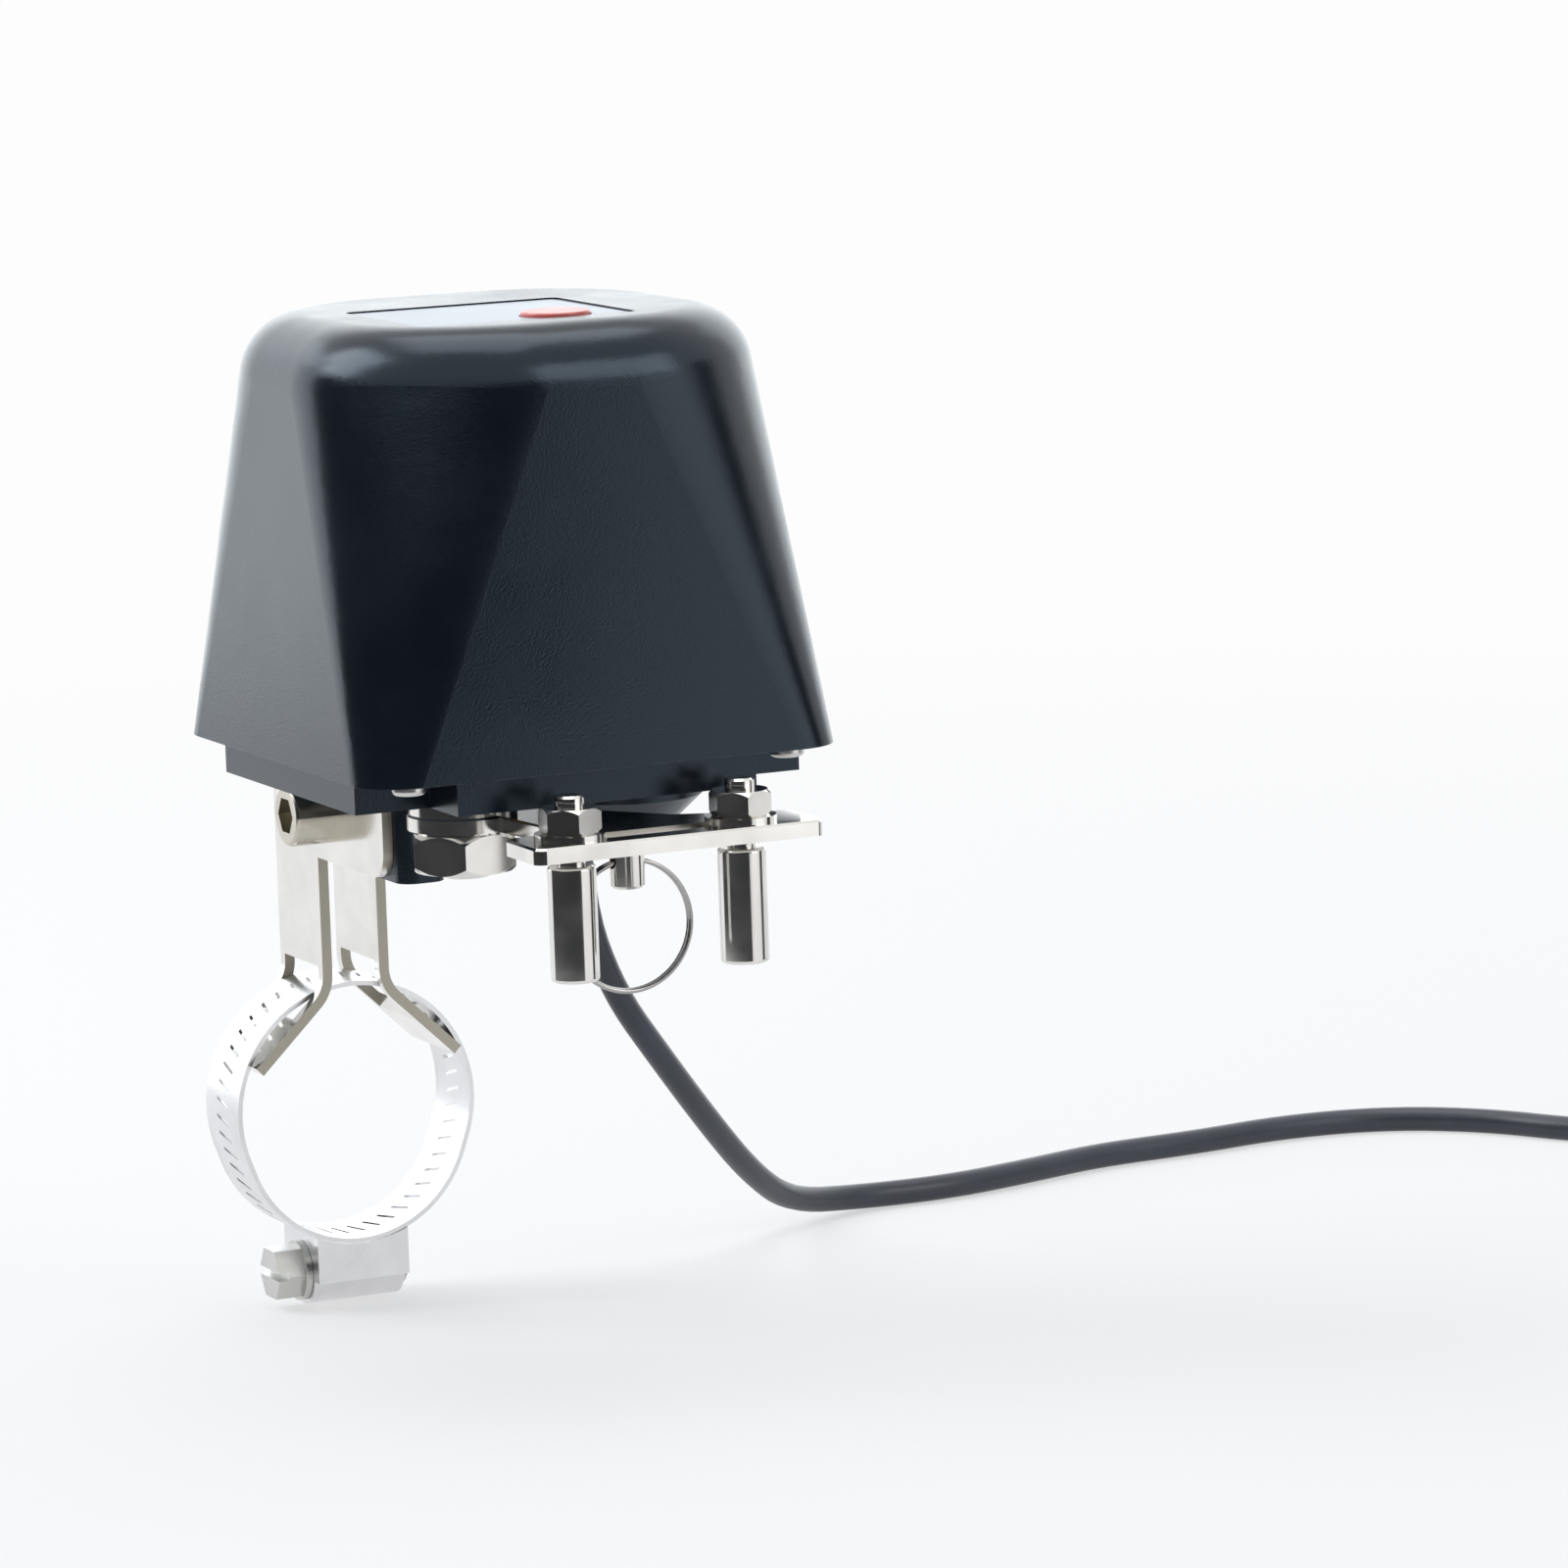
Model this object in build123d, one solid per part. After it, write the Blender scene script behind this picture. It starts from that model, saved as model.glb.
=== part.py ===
# Motorised quarter-turn actuator with a pipe clamp bracket, modelled piece by piece in millimetres.
# The origin is the centre of the clamped pipe below the bracket, +X runs along the pipe and +Z is up.
from build123d import *
import math
import os

os.makedirs("parts", exist_ok=True)

# Clamp and bracket
PIPE_R = 16.7
BAND_W = 12.7
BAND_T = 0.7
BAND_RISE = 2.6
BAND_GAP = 0.1
SHEET_T = 1.5
LEG_W = 16.3
LEG_GAP = 7.2
BEND_R = 5.0
FOOT_ANGLE = 46.0
FOOT_REACH = 4.4
WINDOW_W = 13.0
WINDOW_RISE = 3.2
WINDOW_SILL = 6.5
EAR_FRONT = 33.1
EAR_DROP = 1.55
EAR_H = 13.4
EAR_CHAMFER_X = 8.5
EAR_CHAMFER_Z = 3.7
EAR_R = 4.0
BOLT_X = 11.6
BOLT_Z = 46.65
BOLT_R = 2.5
BOLT_HEAD_R = 4.45
BOLT_HEAD_H = 6.0
BOLT_SOCKET_AF = 4.8
BOLT_END = 1.0
WORM_R = 3.7
WORM_GAP = 0.6
WORM_HOUSING_W = 13.2
WORM_HOUSING_L = 14.0
WORM_HOUSING_T = 1.2
WORM_SADDLE = 2.0
WORM_HEAD_AF = 7.0
WORM_HEAD_H = 5.0
WORM_WASHER_R = 4.35
WORM_WASHER_T = 1.0
WORM_SLOT_W = 1.2
WORM_SLOT_DEPTH = 1.6
WORM_END = 1.0

# Housing: its place, its cover and its base
HOUSE_X = 40.6
HOUSE_Y = 11.5
HOUSE_Z = 59.3
COVER_X = 72.0
COVER_Y = 71.0
COVER_H = 60.0
COVER_R = 7.5
COVER_TOP_R = 29.6
COVER_TAPER = 5.4
COVER_WALL = 2.6
COVER_LIP = 1.6
COVER_TOP_T = 2.4
COVER_ROUND = 9.0
COVER_INNER_ROUND = 6.5
FLANGE_T = 3.0
GASKET_T = 0.6
PAD_H = 4.75
PAD_INSET = 2.4
PAD_NOTCH_X = 9.6
PAD_NOTCH_Y = 11.0
LUG_BACK = 6.6
LUG_FRONT = 35.9
LUG_H = 15.35
LUG_ROUND = 2.5
COVER_SCREW_EDGE_X = 5.0
COVER_SCREW_EDGE_Y = 7.5
SCREW_R = 1.5
SCREW_HEAD_R = 2.4
SCREW_HEAD_H = 1.5
SCREW_L = 12.0
COVER_BOSS_R = 3.2
COVER_BOSS_H = 13.0
HUB_WALL = 3.0
FLANGE_PLAY = 0.15
GASKET_PLAY = 0.2
GASKET_W = 1.8
HOLE_PLAY = 0.1

# Top panel, button and board
PANEL_X = 28.0
PANEL_Y = 31.5
PANEL_AT_X = 6.5
PANEL_AT_Y = -3.25
PANEL_T = 0.6
PANEL_POCKET = 0.8
PANEL_PLAY = 0.2
PANEL_R = 1.5
BUTTON_R = 4.8
BUTTON_AT_X = 15.0
BUTTON_AT_Y = 2.85
BUTTON_RISE = 0.4
BUTTON_TRAVEL = 1.0
BUTTON_PLAY = 0.08
BUTTON_FLANGE_R = 5.8
BUTTON_FLANGE_T = 1.2
BOARD_X = 46.0
BOARD_Y = 44.0
BOARD_T = 1.6
BOARD_DROP = 5.6
BOARD_R = 8.0
SWITCH_SIDE = 6.0
SWITCH_H = 3.1
BOARD_POST_R = 3.0
BOARD_SCREW_R = 1.0
BOARD_SCREW_BITE = 3.0
RADIO_L = 18.0
RADIO_W = 14.0
RADIO_H = 2.4
RELAY_L = 10.0
RELAY_W = 14.0
RELAY_H = 4.6
TERMINAL_L = 12.0
TERMINAL_W = 7.0
TERMINAL_H = 7.0
CAPACITOR_R = 4.0
CAPACITOR_H = 9.0
BUTTON_SPRING_R = 4.92
BUTTON_SPRING_WIRE_R = 0.25
BUTTON_SPRING_TURNS = 4

# Drive: axes, gears and motor
SHAFT_X = 50.4
SHAFT_R = 4.0
SHAFT_UPPER_R = 3.0
SHAFT_FLAT = 6.5
SHAFT_TAIL = 17.0
SHAFT_END = 0.6
SHOULDER_GAP = 0.3
MODULE = 1.0
OUTPUT_TEETH = 38
CLUTCH_TEETH = 17
WHEEL_TEETH = 30
MOTOR_TEETH = 12
CLUTCH_BEARING = 102.0
MOTOR_BEARING = 180.0
GEAR_T = 3.4
GEAR_Z = 9.8
WHEEL_T = 3.0
WHEEL_Z = 6.0
WHEEL_PLAY = 0.8
WHEEL_DROP = 0.6
PINION_OVERHANG = 0.6
PRESSURE = math.radians(20)
ADDENDUM = 0.8
DEDENDUM = 1.1
BACKLASH = 0.25
FLANK_STEPS = 3
DECK_Z = 14.5
DECK_T = 1.5
DECK_INSET = 6.75
DECK_SHIFT = 0.75
DECK_R = 8.0
DECK_SCREW_BITE = 5.0
PILLAR_R = 2.8
MOTOR_HEAD_R = 12.0
MOTOR_HEAD_H = 11.0
MOTOR_CAN_R = 10.0
MOTOR_CAN_ROUND = 1.5
MOTOR_REAR_R = 3.0
MOTOR_REAR_H = 1.5
MOTOR_HEADROOM = 2.9
MOTOR_SHAFT_R = 1.5
MOTOR_SHAFT_BITE = 4.0
MOTOR_HOLE_DEPTH = 5.0
MOTOR_SCREW_R = 1.0
MOTOR_SCREW_BITE = 4.0
MOTOR_SCREW_HEAD_R = 2.0
MOTOR_SCREW_HEAD_H = 1.2
MOTOR_SCREW_EDGE = 3.0
BUSH_R = 6.0
BUSH_FLANGE_R = 7.5
BUSH_FLANGE_T = 1.35
BUSH_TOP = 4.6
SEAL_T = 2.0
SEAL_GAP = 0.3
UPPER_BUSH_WALL = 2.0
UPPER_BUSH_RISE = 0.8
CAM_GAP = 1.2
CAM_T = 3.0
CAM_R = 6.0
CAM_LOBE_R = 8.0
CAM_NOSE_R = 2.0
LIMIT_L = 12.8
LIMIT_W = 6.0
LIMIT_GAP = 0.5
LIMIT_ABOVE = 2.0
RUN = 0.05

# Arm, posts and their fasteners, heights counted down from the cover's rim
ARM_TOP = 8.0
ARM_T = 2.2
ARM_END_R = 7.8
BAR_W = 11.5
BAR_BACK = 76.1
BAR_LEFT = -5.1
BAR_L = 42.6
BAR_R = 1.5
NECK_LEFT = 2.0
NECK_LEFT_END = 4.6
GUSSET_X = 70.6
GUSSET_Y = 22.5
GUSSET_END_Y = 34.0
ARM_NUT_AF = 13.9
ARM_NUT_H = 5.4
ARM_NUT_FACE_R = 6.4
ARM_NUT_FACE_T = 0.5
ARM_NUT_TURN = -21.5
ARM_WASHER_GAP = 0.2
EDGE_BREAK = 0.3
POST_R = 3.3
POST_L = 17.1
POST_MARGIN_LEFT = 7.45
POST_MARGIN_RIGHT = 10.0
POST_STUD_R = 2.0
POST_NECK_R = 1.9
POST_NECK_H = 0.8
POST_COLLAR_H = 0.5
POST_STUB = 1.6
POST_ROUND = 0.5
POST_NUT_AF = 7.6
POST_NUT_H = 3.5
POST_NUT_TURNS = (-7.0, -10.0)
POST_WASHER_R = 4.9
POST_WASHER_T = 0.9
POST_SHIFT = 1.4
SLOT_GAP = 0.15
NUT5_AF = 8.0
NUT5_H = 4.0
WASHER5_R = 5.0
WASHER5_T = 1.0

# Clutch pin under the base, heights counted down from the cover's rim
BELL_R = 11.0
BELL_RIM = 8.8
BELL_SHOULDER_R = 7.5
BELL_SHOULDER = 12.1
BELL_TIP_R = 4.7
BELL_TIP = 15.0
BELL_BORE_R = 4.4
BELL_FLOOR = 12.0
BELL_NECK_WALL = 1.2
BELL_NECK_GAP = 0.2
GUIDE_R = 3.9
GUIDE_TOP = 13.0
GUIDE_TIP = 16.6
PIN_R = 2.45
PIN_TIP = 22.2
PIN_TIP_BREAK = 0.4
PIN_COLLAR_R = 4.0
PIN_COLLAR_TOP = 0.3
PIN_COLLAR_T = 1.3
PIN_AXLE_R = 1.5
PIN_AXLE_WALL = 1.5
PIN_AXLE_END = 1.5
PIN_AXLE_PLAY = 0.3
CLIP_W = 1.3
CLIP_T = 0.6
PIN_TRAVEL = 4.6
RING_HOLE = 18.3
RING_HOLE_R = 1.1
RING_R = 9.3
RING_WIRE_R = 0.36
RING_STEP = 0.3
SPRING_WIRE_R = 0.35
SPRING_R = 3.4
SPRING_TURNS = 7

# Supply cord
CORD_R = 1.9
GLAND_X = 21.6
GLAND_Y = 29.5
GLAND_R = 5.0
GLAND_H = 9.0
GLAND_SLEEVE_T = 0.9
GLAND_SHOULDER = 0.3
TABLE_Z = -27.0
COIL_X = 12.0
COIL_Y = 250.0
COIL_HEADING = 36.87
COIL_R = 29.0
COIL_HALF_TURNS = 5
COIL_SIDE_GAP = 1.3
COIL_LAYER_GAP = 0.5
PLUG_R = 5.5
PLUG_L = 24.0
PLUG_NECK_T = 0.6
PLUG_NECK_END_T = 1.4
PLUG_NECK_L = 7.0
PLUG_SHOULDER_L = 1.5
PLUG_ROUND = 0.8
BARREL_R = 2.75
BARREL_BORE_R = 1.25
BARREL_L = 9.5

LOW = (Align.CENTER, Align.CENTER, Align.MIN)
HOUSE = Pos(HOUSE_X, HOUSE_Y, HOUSE_Z)
SHAFT = Pos(SHAFT_X, 0, HOUSE_Z)


def disc(r, z0, z1):
    """A cylinder about Z from z0 to z1."""
    return Pos(0, 0, z0) * Cylinder(r, z1 - z0, align=LOW)


def tube(r_out, r_in, z0, z1):
    """A hollow cylinder about Z."""
    return disc(r_out, z0, z1) - disc(r_in, z0, z1)


def slab(x0, x1, y0, y1, z0, z1):
    """A box between six planes."""
    return Pos((x0 + x1) / 2, (y0 + y1) / 2, (z0 + z1) / 2) * Box(x1 - x0, y1 - y0, z1 - z0)


def hexagon(across_flats, z0, z1):
    """A hexagonal prism about Z."""
    return Pos(0, 0, z0) * extrude(RegularPolygon(across_flats / 2, 6, major_radius=False), z1 - z0)


def turned(points):
    """A solid turned about Z from (radius, height) points."""
    return revolve(Plane.XZ * make_face(Polyline(*points, close=True)), Axis.Z)


def chamfered_nut(across_flats, hole_r, z0, z1):
    """A hexagon nut whose corners are cut back by a cone at both faces."""
    corner = across_flats / math.sqrt(3)
    cut = corner - across_flats / 2
    cone = turned([(0, z0), (across_flats / 2, z0), (corner, z0 + cut), (corner, z1 - cut),
                   (across_flats / 2, z1), (0, z1)])
    return (hexagon(across_flats, z0, z1) & cone) - disc(hole_r, z0, z1)


def outline(z, inset):
    """The cover's outline at the height z above its rim, drawn in by an inset."""
    share = z / COVER_H
    width = COVER_X - COVER_TAPER * share - 2 * inset
    depth = COVER_Y - COVER_TAPER * share - 2 * inset
    radius = COVER_R + (COVER_TOP_R - COVER_R) * share - inset
    return Pos(0, 0, z) * RectangleRounded(width, depth, radius)


def tapered(z0, z1, inset):
    """A block that follows the cover's taper between two heights."""
    return loft([outline(z0, inset), outline(z1, inset)], ruled=True)


def top_edges(solid):
    """The edges of a solid's highest face."""
    return solid.faces().sort_by(Axis.Z)[-1].edges()


def corners(x, y):
    """The four places at plus and minus x and y."""
    return [Pos(sx * x, sy * y, 0) for sx in (-1, 1) for sy in (-1, 1)]


# Derived places
FOOT_TURN = math.radians(FOOT_ANGLE)
FOOT_OUTER_R = PIPE_R + SHEET_T
FOOT_END_Y = FOOT_OUTER_R * math.cos(FOOT_TURN) + FOOT_REACH * math.sin(FOOT_TURN)
FOOT_END_Z = FOOT_OUTER_R * math.sin(FOOT_TURN) - FOOT_REACH * math.cos(FOOT_TURN)
BAND_TOP_R = math.hypot(FOOT_END_Y, FOOT_END_Z - BAND_RISE) + BAND_GAP
CEILING = COVER_H - COVER_TOP_T
GASKET_TOP = FLANGE_T + GASKET_T
CLUTCH_DISTANCE = MODULE * (OUTPUT_TEETH + CLUTCH_TEETH) / 2
MOTOR_DISTANCE = MODULE * (WHEEL_TEETH + MOTOR_TEETH) / 2
PIN_X = SHAFT_X + CLUTCH_DISTANCE * math.cos(math.radians(CLUTCH_BEARING))
PIN_Y = CLUTCH_DISTANCE * math.sin(math.radians(CLUTCH_BEARING))
MOTOR_X = PIN_X + MOTOR_DISTANCE * math.cos(math.radians(MOTOR_BEARING))
MOTOR_Y = PIN_Y + MOTOR_DISTANCE * math.sin(math.radians(MOTOR_BEARING))
PIN = Pos(PIN_X, PIN_Y, HOUSE_Z)
MOTOR = Pos(MOTOR_X, MOTOR_Y, HOUSE_Z)
GLAND = Pos(GLAND_X, GLAND_Y, HOUSE_Z)
BUTTON = HOUSE * Pos(BUTTON_AT_X, BUTTON_AT_Y, 0)
DECK_TOP = DECK_Z + DECK_T
BOARD_TOP = CEILING - BOARD_DROP
BOARD_Z = BOARD_TOP - BOARD_T
MOTOR_CAN_H = BOARD_Z - DECK_TOP - MOTOR_HEAD_H - MOTOR_REAR_H - MOTOR_HEADROOM
WHEEL_TIP_R = MODULE * (WHEEL_TEETH / 2 + ADDENDUM)
POCKET_Z = WHEEL_Z - PIN_TRAVEL - WHEEL_DROP
CAM_Z = DECK_TOP + CAM_GAP
BAR_CENTRE = BAR_BACK + BAR_W / 2
ARM_BOTTOM = ARM_TOP + ARM_T
POST_LEFT = BAR_LEFT + POST_MARGIN_LEFT
POST_GAP = BAR_L - POST_MARGIN_LEFT - POST_MARGIN_RIGHT
DECK_X = COVER_X - 2 * DECK_INSET
DECK_Y = COVER_Y - 2 * DECK_INSET
PILLARS = [(-DECK_X * 0.41, -DECK_Y * 0.365), (DECK_X * 0.419, DECK_Y * 0.4),
           (-DECK_X * 0.444, DECK_Y * 0.017)]
BOARD_POSTS = [(-BOARD_X * 0.413, -BOARD_Y * 0.409), (-BOARD_X * 0.413, BOARD_Y * 0.409),
               (BOARD_X * 0.37, -BOARD_Y * 0.386)]
MOTOR_SCREW_OFFSET = MOTOR_HEAD_R - MOTOR_SCREW_EDGE
WORM_Z = -(PIPE_R + BAND_T + WORM_R + WORM_GAP)
WORM = Pos(0, 0, WORM_Z) * Rot(X=-90)
BOLT = Pos(BOLT_X, 0, BOLT_Z) * Rot(X=-90)
SCREW_PLACES = corners(COVER_X / 2 - COVER_SCREW_EDGE_X, COVER_Y / 2 - COVER_SCREW_EDGE_Y)


def cover():
    """The moulded shell with its screw bosses, board posts, panel pocket and button hole."""
    shell = tapered(0, COVER_H, 0)
    shell = fillet(top_edges(shell), COVER_ROUND)
    room = tapered(GASKET_TOP, CEILING, COVER_WALL)
    room = fillet(top_edges(room), COVER_INNER_ROUND)
    bosses = [place * disc(COVER_BOSS_R, GASKET_TOP, COVER_BOSS_H) for place in SCREW_PLACES]
    holes = [place * disc(SCREW_R, 0, SCREW_L) for place in SCREW_PLACES]
    posts = [Pos(x, y, 0) * tube(BOARD_POST_R, BOARD_SCREW_R, BOARD_TOP, CEILING) for x, y in BOARD_POSTS]
    hollow = shell - room - tapered(0, GASKET_TOP, COVER_LIP)
    solid = hollow + [boss & shell for boss in bosses] + posts - holes
    pocket = RectangleRounded(PANEL_X + 2 * PANEL_PLAY, PANEL_Y + 2 * PANEL_PLAY, PANEL_R)
    solid -= Pos(PANEL_AT_X, PANEL_AT_Y, COVER_H - PANEL_POCKET) * extrude(pocket, PANEL_POCKET)
    solid -= Pos(BUTTON_AT_X, BUTTON_AT_Y, 0) * disc(BUTTON_R + BUTTON_PLAY, CEILING, COVER_H)
    return HOUSE * solid


def base():
    """The base: flange in the rim, plus-shaped pad, bracket lug and the hub for the lower bush."""
    inner_x = COVER_X / 2 - PAD_INSET
    inner_y = COVER_Y / 2 - PAD_INSET
    flange = tapered(0, FLANGE_T, COVER_LIP + FLANGE_PLAY)
    long_arm = slab(-inner_x, inner_x, PAD_NOTCH_Y - inner_y, inner_y - PAD_NOTCH_Y, -PAD_H, 0)
    cross_arm = slab(PAD_NOTCH_X - inner_x, inner_x - PAD_NOTCH_X, -inner_y, inner_y, -PAD_H, 0)
    lug_half = LEG_GAP / 2 - RUN
    lug_z = HOUSE_Z - PAD_H
    lug = slab(LUG_BACK, LUG_FRONT, -lug_half, lug_half, lug_z - LUG_H, lug_z)
    front = lug.edges().filter_by(Axis.Z).group_by(Axis.X)[-1]
    lug = fillet(front, LUG_ROUND)
    solid = HOUSE * (flange + long_arm + cross_arm) + lug
    solid += SHAFT * disc(BUSH_R + HUB_WALL, 0, BUSH_TOP + SEAL_T)
    solid -= SHAFT * disc(BUSH_R, -PAD_H, BUSH_TOP + SEAL_T)
    solid -= PIN * disc(WHEEL_TIP_R + WHEEL_PLAY, POCKET_Z, FLANGE_T)
    solid -= PIN * disc(BELL_BORE_R + BELL_NECK_WALL, -PAD_H, POCKET_Z)
    solid -= GLAND * disc(CORD_R + GLAND_SLEEVE_T + HOLE_PLAY, -PAD_H, FLANGE_T)
    solid -= BOLT * disc(BOLT_R + RUN, -LEG_GAP, LEG_GAP)
    holes = [place * disc(SCREW_R + HOLE_PLAY, 0, FLANGE_T) for place in SCREW_PLACES]
    return solid - [HOUSE * hole for hole in holes]


def gasket():
    """The flat ring between the flange and the cover's inner ledge."""
    inset = COVER_LIP + GASKET_PLAY
    ring = extrude(outline(FLANGE_T, inset) - outline(FLANGE_T, inset + GASKET_W), GASKET_T)
    holes = [place * disc(SCREW_R + HOLE_PLAY, 0, GASKET_TOP) for place in SCREW_PLACES]
    return HOUSE * (ring - holes)


def pan_screw(shank_r, length, head_r, head_h):
    """A pan-head screw along Z, head below z = 0 and a cross recess in its face."""
    head = disc(head_r, -head_h, 0)
    head = fillet(head.faces().sort_by(Axis.Z)[0].edges(), head_h * 0.45)
    recess_l = head_r * 0.6
    recess_w = head_r * 0.13
    recess_z = -head_h * 0.45
    slots = slab(-recess_l, recess_l, -recess_w, recess_w, -head_h, recess_z)
    slots += slab(-recess_w, recess_w, -recess_l, recess_l, -head_h, recess_z)
    return head - slots + disc(shank_r, 0, length)


def cover_screws():
    """Four screws up through the flange into the cover's bosses."""
    screw = pan_screw(SCREW_R - RUN, SCREW_L - 1, SCREW_HEAD_R, SCREW_HEAD_H)
    return [HOUSE * place * screw for place in SCREW_PLACES]


def label_panel():
    """The thin panel in the top pocket, with a hole for the button."""
    z = COVER_H - PANEL_POCKET
    sheet = Pos(PANEL_AT_X, PANEL_AT_Y, z) * extrude(RectangleRounded(PANEL_X, PANEL_Y, PANEL_R), PANEL_T)
    return HOUSE * (sheet - Pos(BUTTON_AT_X, BUTTON_AT_Y, 0) * disc(BUTTON_R + PANEL_PLAY, z, COVER_H))


def button():
    """The push button with its flange under the ceiling and its stem over the switch."""
    top = COVER_H + BUTTON_RISE
    cap = disc(BUTTON_R, CEILING - RUN - BUTTON_FLANGE_T, top)
    cap = fillet(top_edges(cap), BUTTON_RISE * 0.8)
    flange = disc(BUTTON_FLANGE_R, CEILING - RUN - BUTTON_FLANGE_T, CEILING - RUN)
    return BUTTON * (cap + flange)


def button_switch():
    """The square push switch under the button."""
    half = SWITCH_SIDE / 2
    body = slab(-half, half, -half, half, BOARD_TOP, BOARD_TOP + SWITCH_H)
    plunger_top = CEILING - BUTTON_FLANGE_T - BUTTON_TRAVEL - 2 * RUN
    return BUTTON * (body + disc(half / 2, BOARD_TOP + SWITCH_H, plunger_top))


def chain(points, forward):
    """Half circles through points that lie on alternate sides of an axis, as one smooth path."""
    arcs = []
    for first, second in zip(points, points[1:]):
        middle = (Vector(*first) + Vector(*second)) / 2
        radius = (Vector(*second) - Vector(*first)).length / 2
        arcs.append(ThreePointArc(first, middle + Vector(0, forward * radius, 0), second))
        forward = -forward
    return arcs


def spring(mean_r, wire_r, z0, z1, turns):
    """An open coil spring from z0 to z1, wound in half turns."""
    steps = 2 * turns
    low = z0 + wire_r
    rise = (z1 - z0 - 2 * wire_r) / steps
    points = [((-1) ** k * mean_r, 0, low + k * rise) for k in range(steps + 1)]
    path = Wire(chain(points, 1))
    return sweep(Plane(origin=points[0], z_dir=(0, 1, 0)) * Circle(wire_r), path=path)


def button_spring():
    """The light spring that lifts the button."""
    low = BOARD_TOP + RUN
    high = CEILING - RUN - BUTTON_FLANGE_T - RUN
    return BUTTON * spring(BUTTON_SPRING_R, BUTTON_SPRING_WIRE_R, low, high, BUTTON_SPRING_TURNS)


def main_board():
    """The circuit board under the ceiling."""
    sheet = extrude(RectangleRounded(BOARD_X, BOARD_Y, BOARD_R), BOARD_T)
    holes = [Pos(x, y, 0) * disc(SCREW_R, BOARD_Z, BOARD_TOP) for x, y in BOARD_POSTS]
    return HOUSE * (Pos(0, 0, BOARD_Z) * sheet - holes)


def board_screws():
    """Three screws up through the board into the cover's posts."""
    length = BOARD_T + BOARD_SCREW_BITE
    screw = pan_screw(BOARD_SCREW_R - RUN, length, SCREW_HEAD_R * 0.8, SCREW_HEAD_H * 0.8)
    return [HOUSE * Pos(x, y, BOARD_Z) * screw for x, y in BOARD_POSTS]


def on_board(share_x, share_y):
    """A place on the board's upper face, in shares of the board's size."""
    return Pos(BOARD_X * share_x, BOARD_Y * share_y, BOARD_TOP)


def board_parts():
    """Radio module, relay, capacitor and terminal block on the board."""
    radio = on_board(-0.11, -0.205) * Box(RADIO_L, RADIO_W, RADIO_H, align=LOW)
    relay = on_board(-0.24, 0.205) * Box(RELAY_L, RELAY_W, RELAY_H, align=LOW)
    block = Pos(0, 0, -BOARD_T - TERMINAL_H) * Box(TERMINAL_L, TERMINAL_W, TERMINAL_H, align=LOW)
    terminal = on_board(0.175, 0.352) * block
    capacitor = on_board(0.175, -0.273) * disc(CAPACITOR_R, -BOARD_T - CAPACITOR_H, -BOARD_T)
    return [HOUSE * piece for piece in (radio, relay, terminal, capacitor)]


def gear_blank(teeth, z0, z1, tooth_at):
    """A spur gear with involute flanks and one tooth centred at an angle in degrees."""
    pitch_r = MODULE * teeth / 2
    base_r = pitch_r * math.cos(PRESSURE)
    tip_r = pitch_r + ADDENDUM * MODULE
    root_r = pitch_r - DEDENDUM * MODULE
    half_pitch = (math.pi * MODULE / 2 - BACKLASH / 2) / 2 / pitch_r

    def half_angle(r):
        bend = math.acos(min(1.0, base_r / r))
        return half_pitch + (math.tan(PRESSURE) - PRESSURE) - (math.tan(bend) - bend)

    low_r = max(base_r, root_r)
    flank = [low_r + (tip_r - low_r) * k / FLANK_STEPS for k in range(FLANK_STEPS + 1)]
    profile = [(root_r, -half_angle(low_r))] if root_r < low_r else []
    profile += [(r, -half_angle(r)) for r in flank]
    profile += [(r, half_angle(r)) for r in reversed(flank)]
    profile += [(root_r, half_angle(low_r))] if root_r < low_r else []
    points = []
    for k in range(teeth):
        middle = math.radians(tooth_at) + 2 * math.pi * k / teeth
        points += [(r * math.cos(middle + a), r * math.sin(middle + a)) for r, a in profile]
    return Pos(0, 0, z0) * extrude(make_face(Polyline(*points, close=True)), z1 - z0)


def output_gear():
    """The large gear on the output shaft, with its hub resting over the seal."""
    hub_z = BUSH_TOP + SEAL_T + SEAL_GAP
    body = gear_blank(OUTPUT_TEETH, GEAR_Z, GEAR_Z + GEAR_T, CLUTCH_BEARING)
    body += disc(SHAFT_R + HUB_WALL, hub_z, GEAR_Z)
    return SHAFT * (body - disc(SHAFT_R, hub_z, GEAR_Z + GEAR_T))


def clutch_gear():
    """Wheel and pinion in one piece, riding on the pull pin."""
    gap_at_shaft = CLUTCH_BEARING + 180 + 180 / CLUTCH_TEETH
    body = gear_blank(WHEEL_TEETH, WHEEL_Z, WHEEL_Z + WHEEL_T, MOTOR_BEARING)
    body += gear_blank(CLUTCH_TEETH, WHEEL_Z + WHEEL_T, GEAR_Z + GEAR_T, gap_at_shaft)
    hub_z = PIN_COLLAR_TOP + RUN
    body += disc(PIN_AXLE_R + PIN_AXLE_WALL, hub_z, WHEEL_Z)
    return PIN * (body - disc(PIN_AXLE_R + RUN, hub_z, GEAR_Z + GEAR_T))


def motor_pinion():
    """The pinion on the gear motor's shaft."""
    gap_at_wheel = MOTOR_BEARING + 180 + 180 / MOTOR_TEETH
    low = WHEEL_Z - PINION_OVERHANG
    body = gear_blank(MOTOR_TEETH, low, WHEEL_Z + WHEEL_T + PINION_OVERHANG, gap_at_wheel)
    return MOTOR * (body + disc(MOTOR_SHAFT_R, low, DECK_TOP + MOTOR_SHAFT_BITE))


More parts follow.
